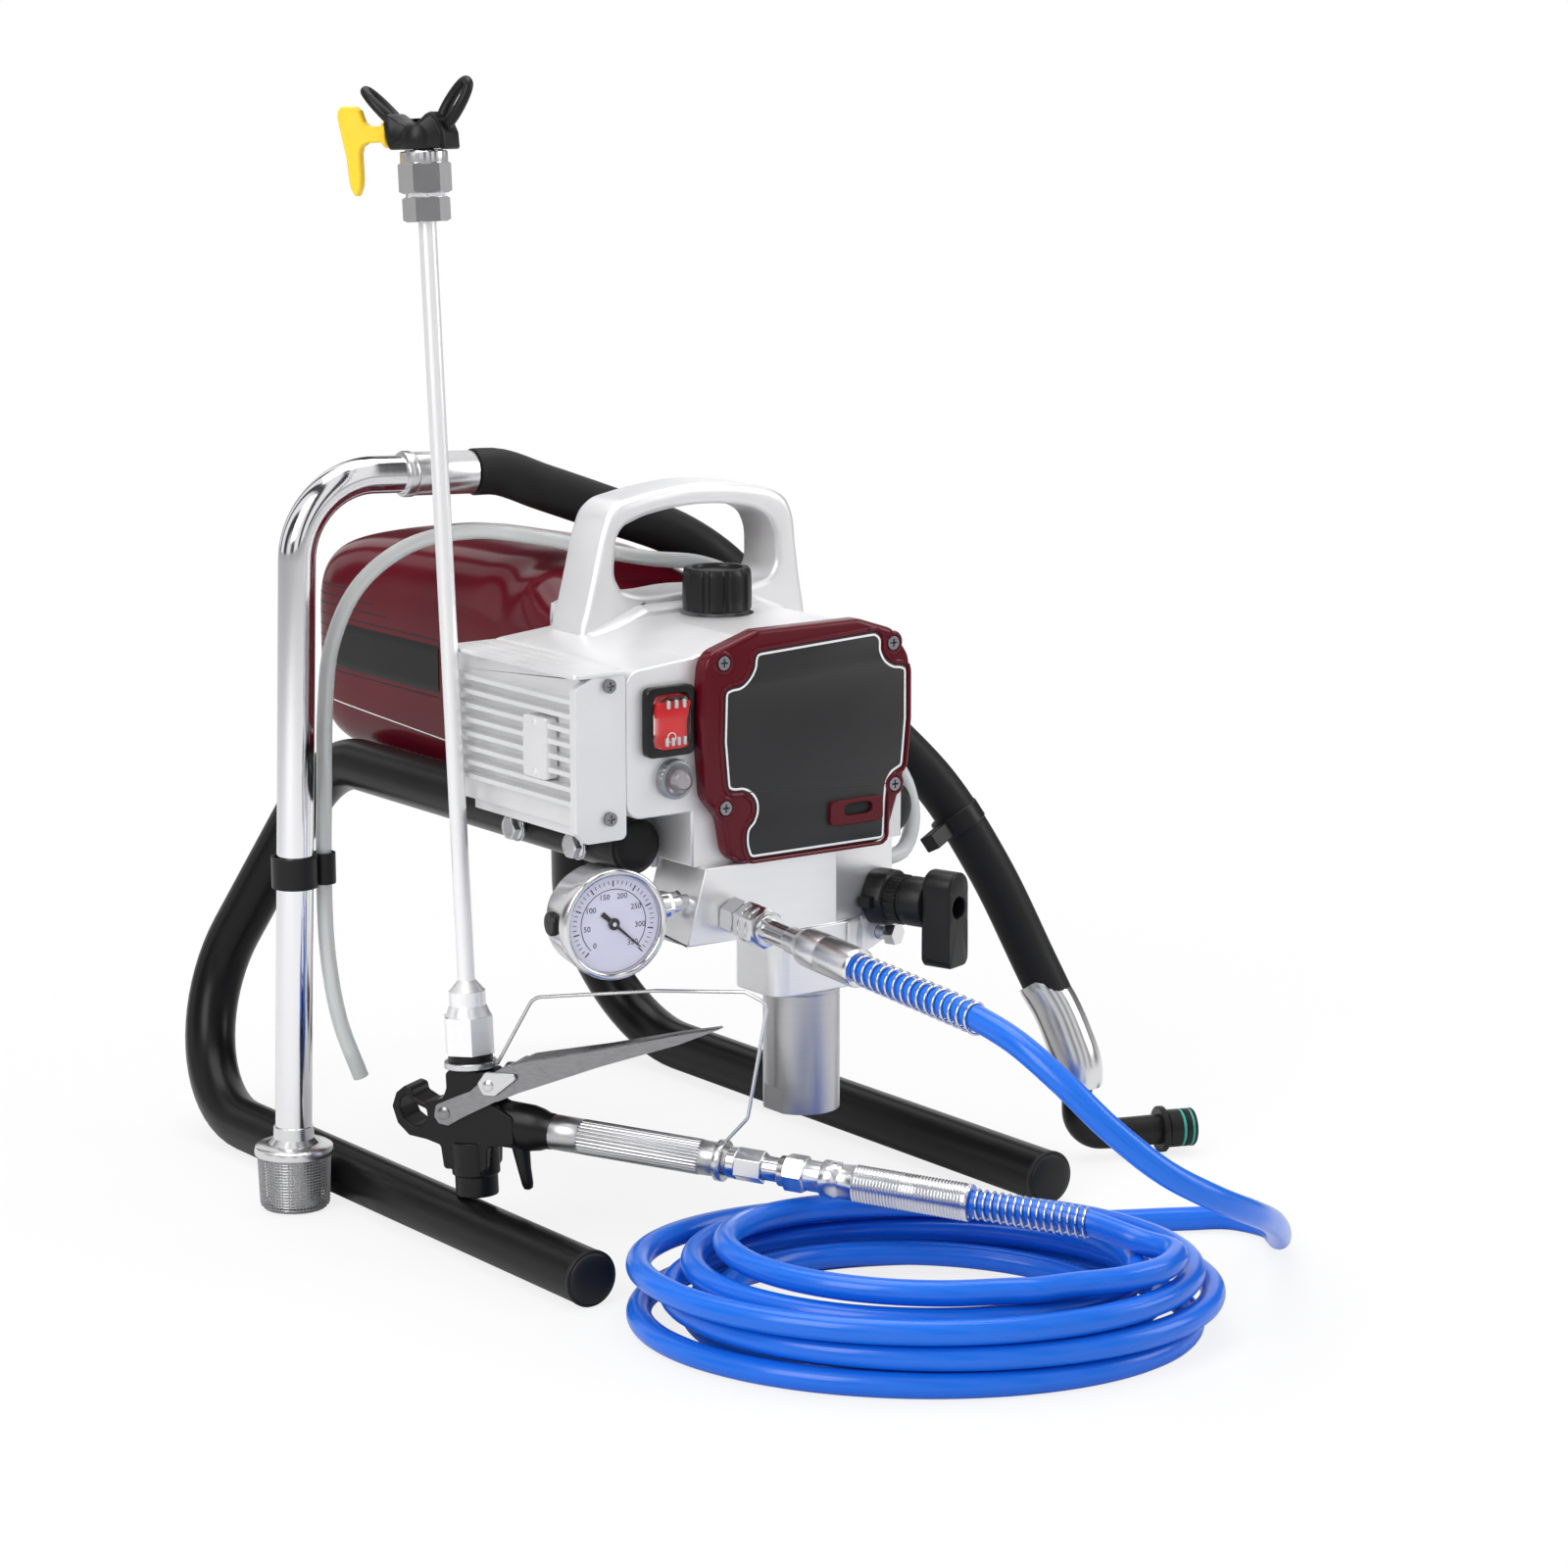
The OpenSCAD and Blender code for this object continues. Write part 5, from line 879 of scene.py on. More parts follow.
grey_nut = material("grey plated nut", (0.3, 0.31, 0.33), 0.3, 0.8, vary=0.08, cloud=90,
                    spread=0.14, grain=900, depth=0.000012)
breaker = seat(-88, 28, 286) @ turn("X", 90)
nut_sides, knob_sides = 144, 240
knurl = 0.35 * (0.5 + 0.5 * np.sign(np.cos(24 * round_angles(nut_sides))))
nut_grid = lathe([(7, 0.3), (11.2, 0.3), (11.4 - knurl, 0.8), (11.4 - knurl, 4.6), (11, 5.2),
                  (9.2, 5.6), (8.8, 5.2), (7.4, 5.0)], breaker, nut_sides)
dress(shells("breaker_ring_nut", [nut_grid, lathe([[0, -26], [7.3, -26], [7.3, 3], [5.2, 3.2],
                                                   [5.0, -18], [0, -18]], breaker)], 30),
      grey_nut, replaces=["breaker_body"])
grey_button = material("grey reset button", (0.32, 0.32, 0.34), 0.3, vary=0.05, cloud=90,
                        grain=900, depth=0.00001)
dress(shells("breaker_reset_button", [lathe([[0, -18], [4.3, -18], [4.3, 9.5], [3.8, 10.4],
                                             [0, 10.6]], breaker)], 30),
      grey_button, "breaker_button", ["breaker_button"])
dress(shells("breaker_boot", [lathe(np.vstack([
    [[0, 4.9], [8.0, 4.9], [8.0, 6.0], [7.2, 6.8]], domed(7.0, 7.5, 7.0, 9)]), breaker)], 50),
    clear_boot)

# ---- Pressure knob ------------------------------------------------------------------------
# Black moulded knob with ten finger grooves and a sunken top, on a bright neck in a round dish.
# It is pressed on the shaft that comes up through the neck.

neck = seat(0, 108, 0)
dress(shells("knob_neck", [lathe([[0, 330], [8.7, 330], [8.7, 351.1], [12.6, 351.1], [13, 351.6],
                                  [13, 355.6], [12.8, 356.4], [12.6, 362.6], [12.2, 363.2],
                                  [8.0, 363.2], [8.0, 366.4], [7.5, 367], [0, 367]], neck)],
             30), chrome, replaces=["knob_bushing"])
groove = np.clip(np.cos(10 * round_angles(knob_sides)) * 1.6 - 0.45, 0, 1) ** 0.7
knob_grid = lathe([(r - depth * groove, z) for r, z, depth in (
    (8.5, 370.9, 0), (8.5, 364.4, 0), (17.8, 363.6, 0), (19.6, 364.1, 0.3), (20.3, 365.4, 1.2),
    (20.5, 371, 1.7), (20.4, 381, 1.7), (20.2, 385, 1.5), (19.7, 387.2, 1.0), (18.6, 388.7, 0.35),
    (17.2, 389, 0), (15.4, 388.8, 0), (14.9, 388.1, 0), (14.6, 386.9, 0), (13.8, 386.6, 0),
    (0.4, 386.4, 0))], neck, knob_sides)
knob_black = material("black knob moulding", (0.009, 0.009, 0.0095), 0.33, vary=0.15, cloud=90,
                      spread=0.14, grain=1500, depth=0.000012, Specular_IOR_Level=0.28)
dress(shells("pressure_knob_moulding", [knob_grid, lathe([[0, 342], [2.9, 342], [2.9, 370],
                                                          [0, 370]], neck, 24)], 35),
      knob_black, "pressure_knob", ["pressure_knob"])

# ---- Motor cover --------------------------------------------------------------------------
# One gloss maroon shroud over the motor, bolted to the gear case: a flat-crowned arch that
# dips behind the handle, with a satin black band let into each side and a seam low down.

cover_table = smooth([[172.4, 76.6, 366.5, 262], [184, 77.6, 371, 249], [204, 78, 382, 243],
                      [230, 78, 386.5, 243], [262, 78, 387.7, 243], [325, 78, 386.6, 243],
                      [380, 78, 384, 243.4], [412, 77.6, 380.5, 245], [426, 76.8, 377.5, 249.5],
                      [436, 75, 374, 257], [443, 71.5, 368, 266], [447.6, 62, 359, 277],
                      [449, 48, 345, 290]], 3)
# Height of the cover's widest line, and the powers of its superellipses
crown_z, left_power, right_power, under_power = 313.8, 4.4, 2.05, 8.0


def arch():
    """Rows of the cover: above its widest line a superellipse, flatter on the left, and below
    it a squarer one that closes under the motor."""
    t = round_angles(160)
    c, s = np.cos(t), np.sin(t)
    f = np.clip(0.5 - c, 0, 1)
    power = np.where(s >= 0, right_power + (left_power - right_power) * f * f * (3 - 2 * f),
                     under_power)
    x = np.sign(c) * np.abs(c) ** (2 / power)
    z = np.abs(s) ** (2 / power)
    y, w, top, low = cover_table.T[:, :, None]
    swell = 1 - 0.035 * np.exp(-((y - 200 - 26 * f) / 15) ** 2) * np.clip(s, 0, 1) * f
    return np.stack([w * x * swell, y + 0 * x,
                     np.where(s >= 0, crown_z + (top - crown_z) * z * swell,
                              crown_z - (crown_z - low) * z)], axis=-1)


def flank(side, y, z):
    """Distance of the cover's side from the middle at a height: the arch's formula solved."""
    w, top, low = [np.interp(y, cover_table[:, 0], cover_table[:, i]) for i in (1, 2, 3)]
    n = np.where(z >= crown_z, left_power if side < 0 else right_power, under_power)
    u = np.abs(np.where(z >= crown_z, (z - crown_z) / (top - crown_z),
                        (crown_z - z) / (crown_z - low)))
    return w * np.maximum(1 - u ** n, 0) ** (1 / n)


def strip(side, y, low, high, lift):
    """A thin sheet on the cover's side, between two heights at each y, proud by its lift."""
    k = np.linspace(0, 1, 13)
    y = np.broadcast_to(y[:, None], (len(y), 13))
    z = low[:, None] + (high - low)[:, None] * k
    proud = lift * (1 - np.abs(2 * k - 1) ** 14)
    outer = np.stack([side * (flank(side, y, z) + proud), y, z], axis=-1)
    inner = np.stack([side * (flank(side, y, z) - 1.2), y, z], axis=-1)[:, ::-1]
    return here(np.concatenate([outer, inner], axis=1))


dress(shells("motor_shroud", [here(arch())]), maroon, replaces=["motor_cover"])
band_y = np.linspace(291, 415, 60)
band_low, band_high = 296 + 0 * band_y, 325 + 0 * band_y
band_satin = material("satin black band", (0.008, 0.008, 0.0085), 0.4, vary=0.12, cloud=40,
                      spread=0.12, grain=1500, depth=0.000012, Specular_IOR_Level=0.25)
dress(shells("motor_shroud_bands", [strip(side, band_y, band_low, band_high, 0.5)
                                    for side in (-1, 1)], 50), band_satin)
seam_y = np.linspace(176, 436, 90)
seam_z = 268 + 7 * (seam_y - 290) / 151
dress(shells("motor_shroud_seam", [strip(side, seam_y, np.maximum(seam_z, 266.2) - 0.35,
                                         np.maximum(seam_z, 266.2) + 0.35, 0.12)
                                   for side in (-1, 1)], 50), pale_line)
fine_lines = [(293.2, 291, 441), (328.4, 291, 440), (335, 352, 440), (341, 368, 440),
              (347, 384, 439), (321, 418, 441), (314, 418, 441), (307, 418, 441), (300, 418, 441)]
dress(shells("motor_shroud_lines", [
    strip(side, np.linspace(a, b, 50), np.full(50, z - 0.45), np.full(50, z + 0.45), 0.07)
    for side in (-1, 1) for z, a, b in fine_lines], 50), band_satin)

# ---- Fluid manifold -----------------------------------------------------------------------
# A milled aluminium block bolted under the gear case, with slanted ends, a turned-away right
# face for the prime valve, and a lower block with one rounded corner that takes the pump.

milled = material("milled aluminium", (0.84, 0.84, 0.85), 0.32, 0.76, vary=0.04, cloud=30,
                  spread=0.12, grain=700, depth=0.000012, stretch=(1, 1, 6))


def outer_block(p):
    """Bevel weight: the block's outer edges, and not the rims of its ports."""
    rim = math.hypot(p.x + 52, p.z - 204) < 9 or math.hypot(p.x - 61, p.z - 198) < 11
    return 0.0 if rim else 1.0


def of_face_plug(p):
    """True for the faces of a low round plug, which the finished block is without."""
    return p.y < 20.9 and math.hypot(p.x + 12, p.z - 207) < 9.5


refine("manifold_block", "fluid_manifold", 0.9, milled, "machined_aluminium",
       rule=outer_block, segments=3, drop=of_face_plug)
stainless = material("turned stainless steel", (0.5, 0.5, 0.51), 0.33, 0.95, vary=0.05, cloud=40,
                     spread=0.12, grain=240, depth=0.000006, stretch=(0.4, 0.4, 9))
refine("pump_barrel", "pump_cylinder", 0.5, stainless, "machined_aluminium")
pump_axis = seat(14, 44, 0)
dress(shells("pump_barrel_groove", [lathe([[22.55, 146.8], [22.75, 147.2], [22.75, 149.4],
                                           [22.55, 149.8], [20, 149.8], [20, 146.8]],
                                          pump_axis, 96)], capped=False), stainless)

# ---- Outlet fitting -----------------------------------------------------------------------
# A chrome nipple screwed into the manifold, a larger ringed union nut, and a slim neck.
# It slants down a little from the manifold's face to the hose's ferrule.

dress(shells("outlet_union", [
    nut(19, 0.6, 12.6, outlet), lathe([[0, -12], [6, -12], [6, 0.8], [0, 0.8]], outlet, 32),
    lathe([[0, 12.4], [7.9, 12.4], [8.3, 13.2], [8.3, 15], [0, 15]], outlet),
    nut(21, 15, 33, outlet),
    lathe([[0, 19.2], [11.3, 19.2], [11.5, 19.6], [11.5, 20.8], [11.3, 21.2], [0, 21.2]], outlet),
    lathe([[0, 26.4], [11.3, 26.4], [11.5, 26.8], [11.5, 28.0], [11.3, 28.4], [0, 28.4]], outlet),
    lathe([[0, 33], [7.4, 33], [7.4, 34.6], [9.2, 34.8], [9.4, 35.2], [9.4, 36.4], [9.2, 36.8],
           [6.9, 37], [6.7, 38], [6.7, 55.8], [0, 55.8]], outlet)], 30),
    chrome, replaces=["outlet_fitting"])

# ---- Pressure gauge -----------------------------------------------------------------------
# A round gauge on a stem at the manifold's left end: bright case and bezel, a pale lilac dial
# with an arc, ticks and plain numbers, a black needle, and a clear lens.

gauge = seat(-138.6, 10, 211.7) @ turn("Z", -9.5) @ turn("X", 90)
gauge_stem = seat(-112, 34, 211.7) @ turn("Y", 90)
k = np.linspace(0, np.pi, 9)
lip = np.stack([29.6 + 1.9 * np.cos(k), -2.2 + 1.9 * np.sin(k)], axis=1)
dress(shells("gauge_case_and_bezel", [
    lathe(np.vstack([[[0, -32], [27.2, -32], [28.9, -31.4], [29.8, -30], [30, -28], [30, -9.4],
                      [30.4, -9], [31.2, -8.8], [31.5, -8.3]], lip,
                     [[27.6, -3.2], [27.5, -6.2], [0, -6.2]]]), gauge, 96),
    lathe([[0, 0], [7.4, 0], [7.4, 14], [9, 14.4], [9, 21], [7.4, 21.4], [7.4, 29], [5, 29.2],
           [5, 44], [0, 44]], gauge_stem, 48),
    nut(16, 15, 24, gauge_stem)], 30), chrome, replaces=["gauge_case"])
dress(shells("gauge_side_plug", [
    lathe([[0, -2], [6.6, -2], [6.9, -1.5], [6.9, 1.2], [6.2, 2.2], [0, 2.6]],
          gauge @ shift(-30.4, 0, -20) @ turn("Y", -90), 48)], 30), black_nylon)
dial_face = material("pale lilac dial", (0.8, 0.78, 0.93), 0.42, vary=0.05, cloud=80, spread=0.1,
                     grain=2400, depth=0.000004)
dress(shells("gauge_dial_face", [lathe([[0, -6.1], [27.3, -6.1], [27.4, -5.9], [27.4, -4.9],
                                        [0, -4.8]], gauge)]), dial_face,
      replaces=["gauge_dial"])


def bars(spin, low, high, width):
    """Thin raised bars on the dial, each along a radius: boxes turned to their angles."""
    along = np.stack([np.cos(spin), np.sin(spin)], 1)
    across = np.stack([-np.sin(spin), np.cos(spin)], 1)
    made = []
    for i in range(len(spin)):
        w = width[i] / 2
        corners = [along[i] * r + across[i] * s * w for r, s in
                   ((low[i], -1), (low[i], 1), (high, 1), (high, -1))]
        made.append(carry([np.column_stack([corners, np.full(4, z)]) for z in (-4.85, -4.68)],
                          gauge))
    return made


ink = material("dial ink", (0.02, 0.02, 0.03), 0.5, vary=0.2, cloud=300, grain=2000,
               depth=0.000003)
tick = np.radians(225 - np.arange(41) * 6.75)
major = np.arange(41) % 5 == 0
arc_spin = np.radians(np.linspace(225, -45, 80))
arc_grid = carry(tube_grid(about_z(19.6, arc_spin, -4.75), 0.22, 6, (0, 0, 1)), gauge)
dial_marks = bars(tick, np.where(major, 21.2, 22.4), 24.6, np.where(major, 0.7, 0.35))
dress(shells("gauge_dial_marks", dial_marks + [arc_grid]), ink)


def figures(values, radius, size):
    """Plain numbers on the dial, set upright round it, as one flat mesh."""
    vertices, faces = [], []
    for i, value in enumerate(values):
        curve = bpy.data.curves.new("figure", "FONT")
        curve.body, curve.size = value, size
        curve.align_x, curve.align_y = "CENTER", "CENTER"
        curve.resolution_u = 3
        holder = bpy.data.objects.new("figure", curve)
        mesh = bpy.data.meshes.new_from_object(holder)
        spin = math.radians(225 - 270 * i / (len(values) - 1))
        p = np.array([v.co for v in mesh.vertices])
        p[:, :2] += radius * np.array([math.cos(spin), math.sin(spin)])
        p[:, 2] = -4.7
        faces += [[j + sum(map(len, vertices)) for j in f.vertices] for f in mesh.polygons]
        vertices.append(p)
        bpy.data.objects.remove(holder)
        bpy.data.curves.remove(curve)
        bpy.data.meshes.remove(mesh)
    made = bpy.data.meshes.new("gauge_dial_figures")
    made.from_pydata(carry(np.vstack(vertices), gauge).tolist(), [], faces)
    return link("gauge_dial_figures", made, 40)


dress(figures(["0", "50", "100", "150", "200", "250", "300", "350"], 16.2, 4.4), ink)
blade = carry([[[x, y, z] for x, y in
                ((-9.5, -1.5), (-9.5, 1.5), (-3, 1.2), (0, 0.9), (21.5, 0.25), (22.5, 0),
                 (21.5, -0.25), (0, -0.9), (-3, -1.2))] for z in (-4.35, -3.75)],
              gauge @ turn("Z", -42))
needle_paint = material("black needle paint", (0.01, 0.01, 0.011), 0.35, vary=0.1, cloud=200,
                        grain=900, depth=0.000004)
dress(shells("gauge_needle_blade", [
    blade, lathe([[0, -8.4], [1.2, -8.4], [1.2, -4.4], [3.3, -4.3], [3.4, -3.6], [2.9, -3.1],
                  [0, -3.0]], gauge, 48)], 30),
    needle_paint, "gauge_needle", ["gauge_needle"])
dress(shells("gauge_needle_pin", [lathe([[0, -3.2], [1.3, -3.1], [1.2, -2.8], [0, -2.7]],
                                        gauge, 24)]), chrome, "gauge_needle")
lens_glass = material("clear lens", (0.96, 0.97, 0.98), 0.05, vary=0.01, cloud=60, spread=0.03,
                      grain=200, depth=0.000001, Transmission_Weight=1.0, IOR=1.2)
dress(shells("gauge_lens_dome", [lathe([[0, -2.3], [27.4, -2.5], [27.4, -1.9], [20, -1.35],
                                        [10, -1.05], [0, -0.95]], gauge)]), lens_glass,
      replaces=["gauge_lens"])

# ---- Prime valve --------------------------------------------------------------------------
# Black moulded valve on the manifold's turned face: a lobed cap with a pointer tab, a ribbed
# ring, and a lever whose hub carries a hanging paddle with a round hole on the valve's axis.

valve = seat(61, 33.7, 198) @ turn("Z", 18) @ turn("X", 90)
fine_sides = 192
spin = round_angles(fine_sides)
lobes = 0.45 * np.cos(6 * spin) + 0.1 * np.cos(12 * spin)
ribs = 0.3 * np.sign(np.cos(36 * spin))
tab = [[[-21, -3, z], [-15, -3.4, z], [-15, 3.4, z], [-21, 3, z]] for z in (1.5, 9.5)]
dress(shells("prime_valve_cap", [
    lathe([(0, 0.35), (16 + lobes, 0.35), (16.5 + lobes, 0.9), (16.4 + lobes, 11.6),
           (15.9 + lobes, 12.9), (15.0 + 0.5 * lobes, 13.6), (14.2, 13.8), (14.2, 14.6),
           (14.5 + ribs, 15.0), (14.5 + ribs, 21.4), (14.1, 21.9), (13.2, 22.1), (13.2, 24),
           (0, 24)], valve, fine_sides),
    lathe([[0, -10], [7.9, -10], [7.9, 0.6], [0, 0.6]], valve, 32),
    carry(tab, valve)], 35),
    black_nylon, replaces=["prime_valve_body"])


def polar(outline):
    """An outline about the origin as its radius at each of the even angles."""
    p = np.vstack([outline, outline[:1]])
    dense = np.vstack([p[i] + (p[i + 1] - p[i]) * np.linspace(0, 1, 40)[:, None]
                       for i in range(len(p) - 1)])
    a = np.arctan2(dense[:, 1], dense[:, 0]) % (2 * np.pi)
    order = np.argsort(a)
    return np.interp(spin, a[order], np.hypot(*dense[order].T), period=2 * np.pi)


paddle = polar(eased([[-10, -35.5], [10, -35.5], [10.6, 0], [10, 20.5], [-10, 20.5], [-10.6, 0]],
                     [4, 4, 30, 9, 9, 30], 8, closed=True))
dress(shells("prime_lever_paddle", [
    lathe([(0, 8), (4.9, 8), (4.9, 24.5), (13.8, 24.4), (14.6, 25.2), (14.6, 37.5),
           (13.9, 38.8), (10, 39.4), (0, 39.4)], valve, fine_sides),
    lathe([(3, 38.5), (paddle - 1.2, 38.6), (paddle, 39.8), (paddle, 56.6),
           (paddle - 0.5, 57.5), (paddle - 1.5, 58), (7.0, 58), (6.4, 57.4),
           (6.2, 50), (0.3, 49.8)], valve, fine_sides)], 35),
    black_nylon, "prime_lever", ["prime_lever"])
refine("drain_screw", "drain_fitting", 0.35, chrome, "chrome")

# ---- Suction pipe and strainer ------------------------------------------------------------
# A polished steel pipe bent over the machine's back, whose foot carries a wire mesh cup under
# a pressed ring; two black clips hold the return tube to it.

polished = material("polished steel tube", (0.8, 0.8, 0.82), 0.1, 1.0, vary=0.03, cloud=50,
                    spread=0.05, grain=160, depth=0.000008, stretch=(2, 2, 0.2))
pipe_path = eased([[-203, 262, 46], [-195, 254, 441], [-82, 243, 437.0]], [0, 48, 0], 24)
dress(tube("suction_pipe", pipe_path + machine_at, 11, 64, (0.097, 0.995, 0.02)), polished,
      replaces=["suction_tube"])


def aim(point, direction):
    """A frame at a point in machine millimetres whose Z runs along a direction."""
    spin_to = Vector(direction).to_track_quat("Z", "Y").to_matrix().to_4x4()
    return seat(*point) @ spin_to


pipe_end = aim(suction_start, -suction_dir)
dress(shells("suction_pipe_sleeve", [lathe([
    [11.0, 0.5], [12.6, 0.6], [12.9, 1.2], [12.9, 40], [13.4, 40.6], [13.6, 41.4], [13.6, 46],
    [13.3, 46.8], [12.4, 47], [11.0, 47]], pipe_end, 80)], 30, capped=False), pressed_steel)
clip_at, clip_dir = np.array([190.5, 119, 213]), unit(np.array([25, -22, -52.0]))
hose_clip = aim(clip_at, clip_dir)
outward = np.array([-1.0, -0.1, 0])
lug_way = unit(outward - clip_dir * (outward @ clip_dir))
lug_side = np.cross(clip_dir, lug_way)
lug = np.stack([[clip_at + lug_way * far + lug_side * a * 5.5 + clip_dir * b * 5
                 for a, b in ((-1, -0.9), (-0.9, -1), (0.9, -1), (1, -0.9), (1, 0.9), (0.9, 1),
                              (-0.9, 1), (-1, 0.9))] for far in (12, 30.5, 31)])
dress(shells("suction_hose_clip", [
    lathe([[14.0, -6], [15.7, -6], [16.1, -5.6], [16.1, 5.6], [15.7, 6], [14.0, 6]], hose_clip, 48),
    here(lug)], 35), black_nylon)
strainer = seat(-203, 262, 0)
wire = material("woven steel wire", (0.42, 0.42, 0.43), 0.34, 1.0, vary=0.2, cloud=500,
                spread=0.2, grain=1500, depth=0.000004)


def cup(level):
    """Radius of the mesh cup at a height: a rounded floor, then a wall that widens a little."""
    return 20.4 + 1.4 * level / 34 - 3.4 * np.clip(1 - level / 4, 0, 1) ** 2


mesh_wires = []
for height in np.linspace(1.2, 33.5, 19):
    a = np.linspace(0, 2 * np.pi, 49)
    path = about_z(cup(height) + 0.22 * np.cos(24 * a), a, height)
    mesh_wires.append(carry(tube_grid(path, 0.38, 5, (0, 0, 1)), strainer))
for a in round_angles(64):
    z = np.linspace(0.6, 34.5, 13)
    path = about_z(cup(z), a, z)
    mesh_wires.append(carry(tube_grid(path, 0.36, 5, (-math.sin(a), math.cos(a), 0)), strainer))
dress(shells("strainer_mesh", mesh_wires, 60), wire, replaces=["strainer"])
dress(shells("strainer_ring", [
    lathe([[16, 33.2], [22.8, 33.2], [23.6, 33.9], [23.8, 35.4], [23.2, 38.2], [21.6, 39.4],
           [15, 40.2], [12.2, 43.5], [11.9, 50.5], [11.05, 51], [11.05, 41], [14, 38]], strainer,
          96),
    lathe([[0, 0.2], [16.4, 0.2], [17.6, 0.7], [18.2, 1.8], [17.4, 2.4], [0, 2.4]], strainer),
    lathe([[14.6, 3], [15.2, 3], [15.4, 33], [14.8, 33]], strainer)], 30), pressed_steel)
refine("hose_clip_pair", "hose_clips", 0.5, black_nylon, "black_plastic")

# ---- Gun and pole -------------------------------------------------------------------------
# A black coated gun body with a hook, a ribbed bright grip, a stamped trigger and its lock, a
# wire guard, and a bright extension pole with the tip guard and the reversible yellow tip.

gun_coat = material("black gun coating", (0.007, 0.007, 0.0075), 0.32, vary=0.15, cloud=70,
                    spread=0.14, grain=1200, depth=0.000016, Specular_IOR_Level=0.25)
pale_steel = material("stamped steel", (0.27, 0.27, 0.28), 0.3, 1.0, vary=0.25, cloud=160,
                      spread=0.2, grain=700, depth=0.000008, stretch=(1, 1, 4))
yellow = material("yellow tip moulding", (0.93, 0.62, 0.02), 0.34, vary=0.08, cloud=90,
                  spread=0.1, grain=1200, depth=0.00001, Subsurface_Weight=0.1,
                  Subsurface_Scale=0.002)
grip_metal = material("satin grip metal", (0.5, 0.5, 0.51), 0.34, 1.0, vary=0.05, cloud=60,
                      spread=0.12, grain=900, depth=0.000008)
pole_metal = material("satin pole steel", (0.93, 0.93, 0.94), 0.3, 0.6, vary=0.03, cloud=50,
                      spread=0.06, grain=160, depth=0.000006, stretch=(2, 2, 0.2))
for name, source, width, finish, slot_name, body in (
        ("gun_body_casting", "gun_body", 0.9, gun_coat, "gun_black", "machine"),
        ("gun_swivel_nut", "gun_swivel", 0.35, chrome, "chrome", "gun_swivel"),
        ("pole_nuts", "tip_nut", 0.7, chrome, "machined_aluminium", "machine"),
        ("extension_pole_tube", "extension_pole", 0.3, pole_metal, "pole_steel", "machine")):
    refine(name, source, width, finish, slot_name, body)


def in_gun(rows):
    """Rows of gun-frame points as scene points."""
    return carry(rows, gun)


def plate(outline, near, far, ease=0.4):
    """A flat plate in the gun's plane between two depths, with its edges eased."""
    levels = [(ease, near), (0, near + ease), (0, far - ease), (ease, far)]
    return in_gun(layers(outline, levels))


def pin(at, half, radius):
    """A round pin across the gun with slightly wider, domed heads."""
    place = gun @ shift(at[0], 0, at[1]) @ turn("X", 90)
    return lathe([[0, -half], [radius * 0.9, -half + 0.2], [radius * 1.3, -half + 0.9],
                  [radius * 1.3, -half + 1.6], [radius * 0.8, -half + 1.8],
                  [radius * 0.8, half - 1.8], [radius * 1.3, half - 1.6],
                  [radius * 1.3, half - 0.9], [radius * 0.9, half - 0.2], [0, half]], place, 32)


dress(shells("gun_grip_root", [
    lathe([[0, 10], [12.6, 11], [13.6, 14], [13.9, 22], [13.6, 38], [12.4, 44], [10.8, 48],
           [10.6, 51], [0, 51]], grip @ Matrix.Diagonal((1, 0.77, 1, 1))),
    in_gun(tube_grid(np.array([[28.5, 0, -9], [29.5, 0, -16], [31, 0, -28], [32.6, 0, -37],
                               [33.0, 0, -39.6], [33.1, 0, -40.4]]),
                     np.array([6.5, 5.2, 4.0, 3.4, 2.6, 0.8]), 20, (0, 1, 0)))], 40),
    gun_coat)
flutes = 0.5 * np.cos(30 * spin)
dress(shells("gun_grip_ribbed", [lathe(
    [(0, 13), (7.9, 13), (7.9, 50.6), (9.9, 51.2), (10.2, 52), (10.2, 68.6), (9.8, 69.2),
     (9.8 + flutes, 70.2), (9.8 + flutes, 143), (9.8, 144.4), (10, 145), (9.8, 152),
     (8.2, 159.4), (7.8, 160.8), (0, 161)], grip, fine_sides)], 40),
    grip_metal, replaces=["gun_handle"])
arm = eased([[-19, 3.5], [-17.5, 10.5], [-11, 13.2], [5, 19.5], [16, 28.5], [30, 36], [34, 35],
             [34, 19.5], [16, 11], [0, 3.5], [-10, -1.8], [-16, -0.8]], 2.5, 4, closed=True)
u = np.linspace(22, 158, 40)
top = np.interp(u, [22, 36, 86.6, 133.7, 158], [31.8, 37.8, 46.6, 56.2, 60.2])
under = np.interp(u, [22, 36, 86.6, 133.7, 158], [13.8, 19.5, 36.2, 49.8, 59.0])
wide = np.interp(u, [22, 45, 158], [13.5, 13.2, 3.2])
thick = np.minimum(1.6, wide * 0.4)
channel = np.stack([np.stack([u, y, w], axis=1) for y, w in (
    (-wide, under), (-wide, top - 1), (-wide + 1, top), (wide - 1, top), (wide, top - 1),
    (wide, under), (wide - thick, under), (wide - thick, top - thick),
    (-wide + thick, top - thick), (-wide + thick, under))], axis=1)
dress(shells("gun_trigger_stamping", [
    plate(arm, -13.5, -11.4), plate(arm, 11.4, 13.5), in_gun(channel),
    pin((-12.5, 5.6), 15, 3.0)], 35), pale_steel, "gun_trigger", ["gun_trigger"])
kite = eased([[11, 24.5], [16.5, 31.5], [35, 31], [35.8, 27.6], [22, 17.3], [14.5, 17.8]], 2, 4,
             closed=True)
dress(shells("trigger_lock_clip", [plate(kite, -16, -14), plate(kite, 14, 16),
                                   pin((18, 23.5), 17.5, 2.6)], 35), zinc,
      "trigger_lock", ["trigger_lock"])
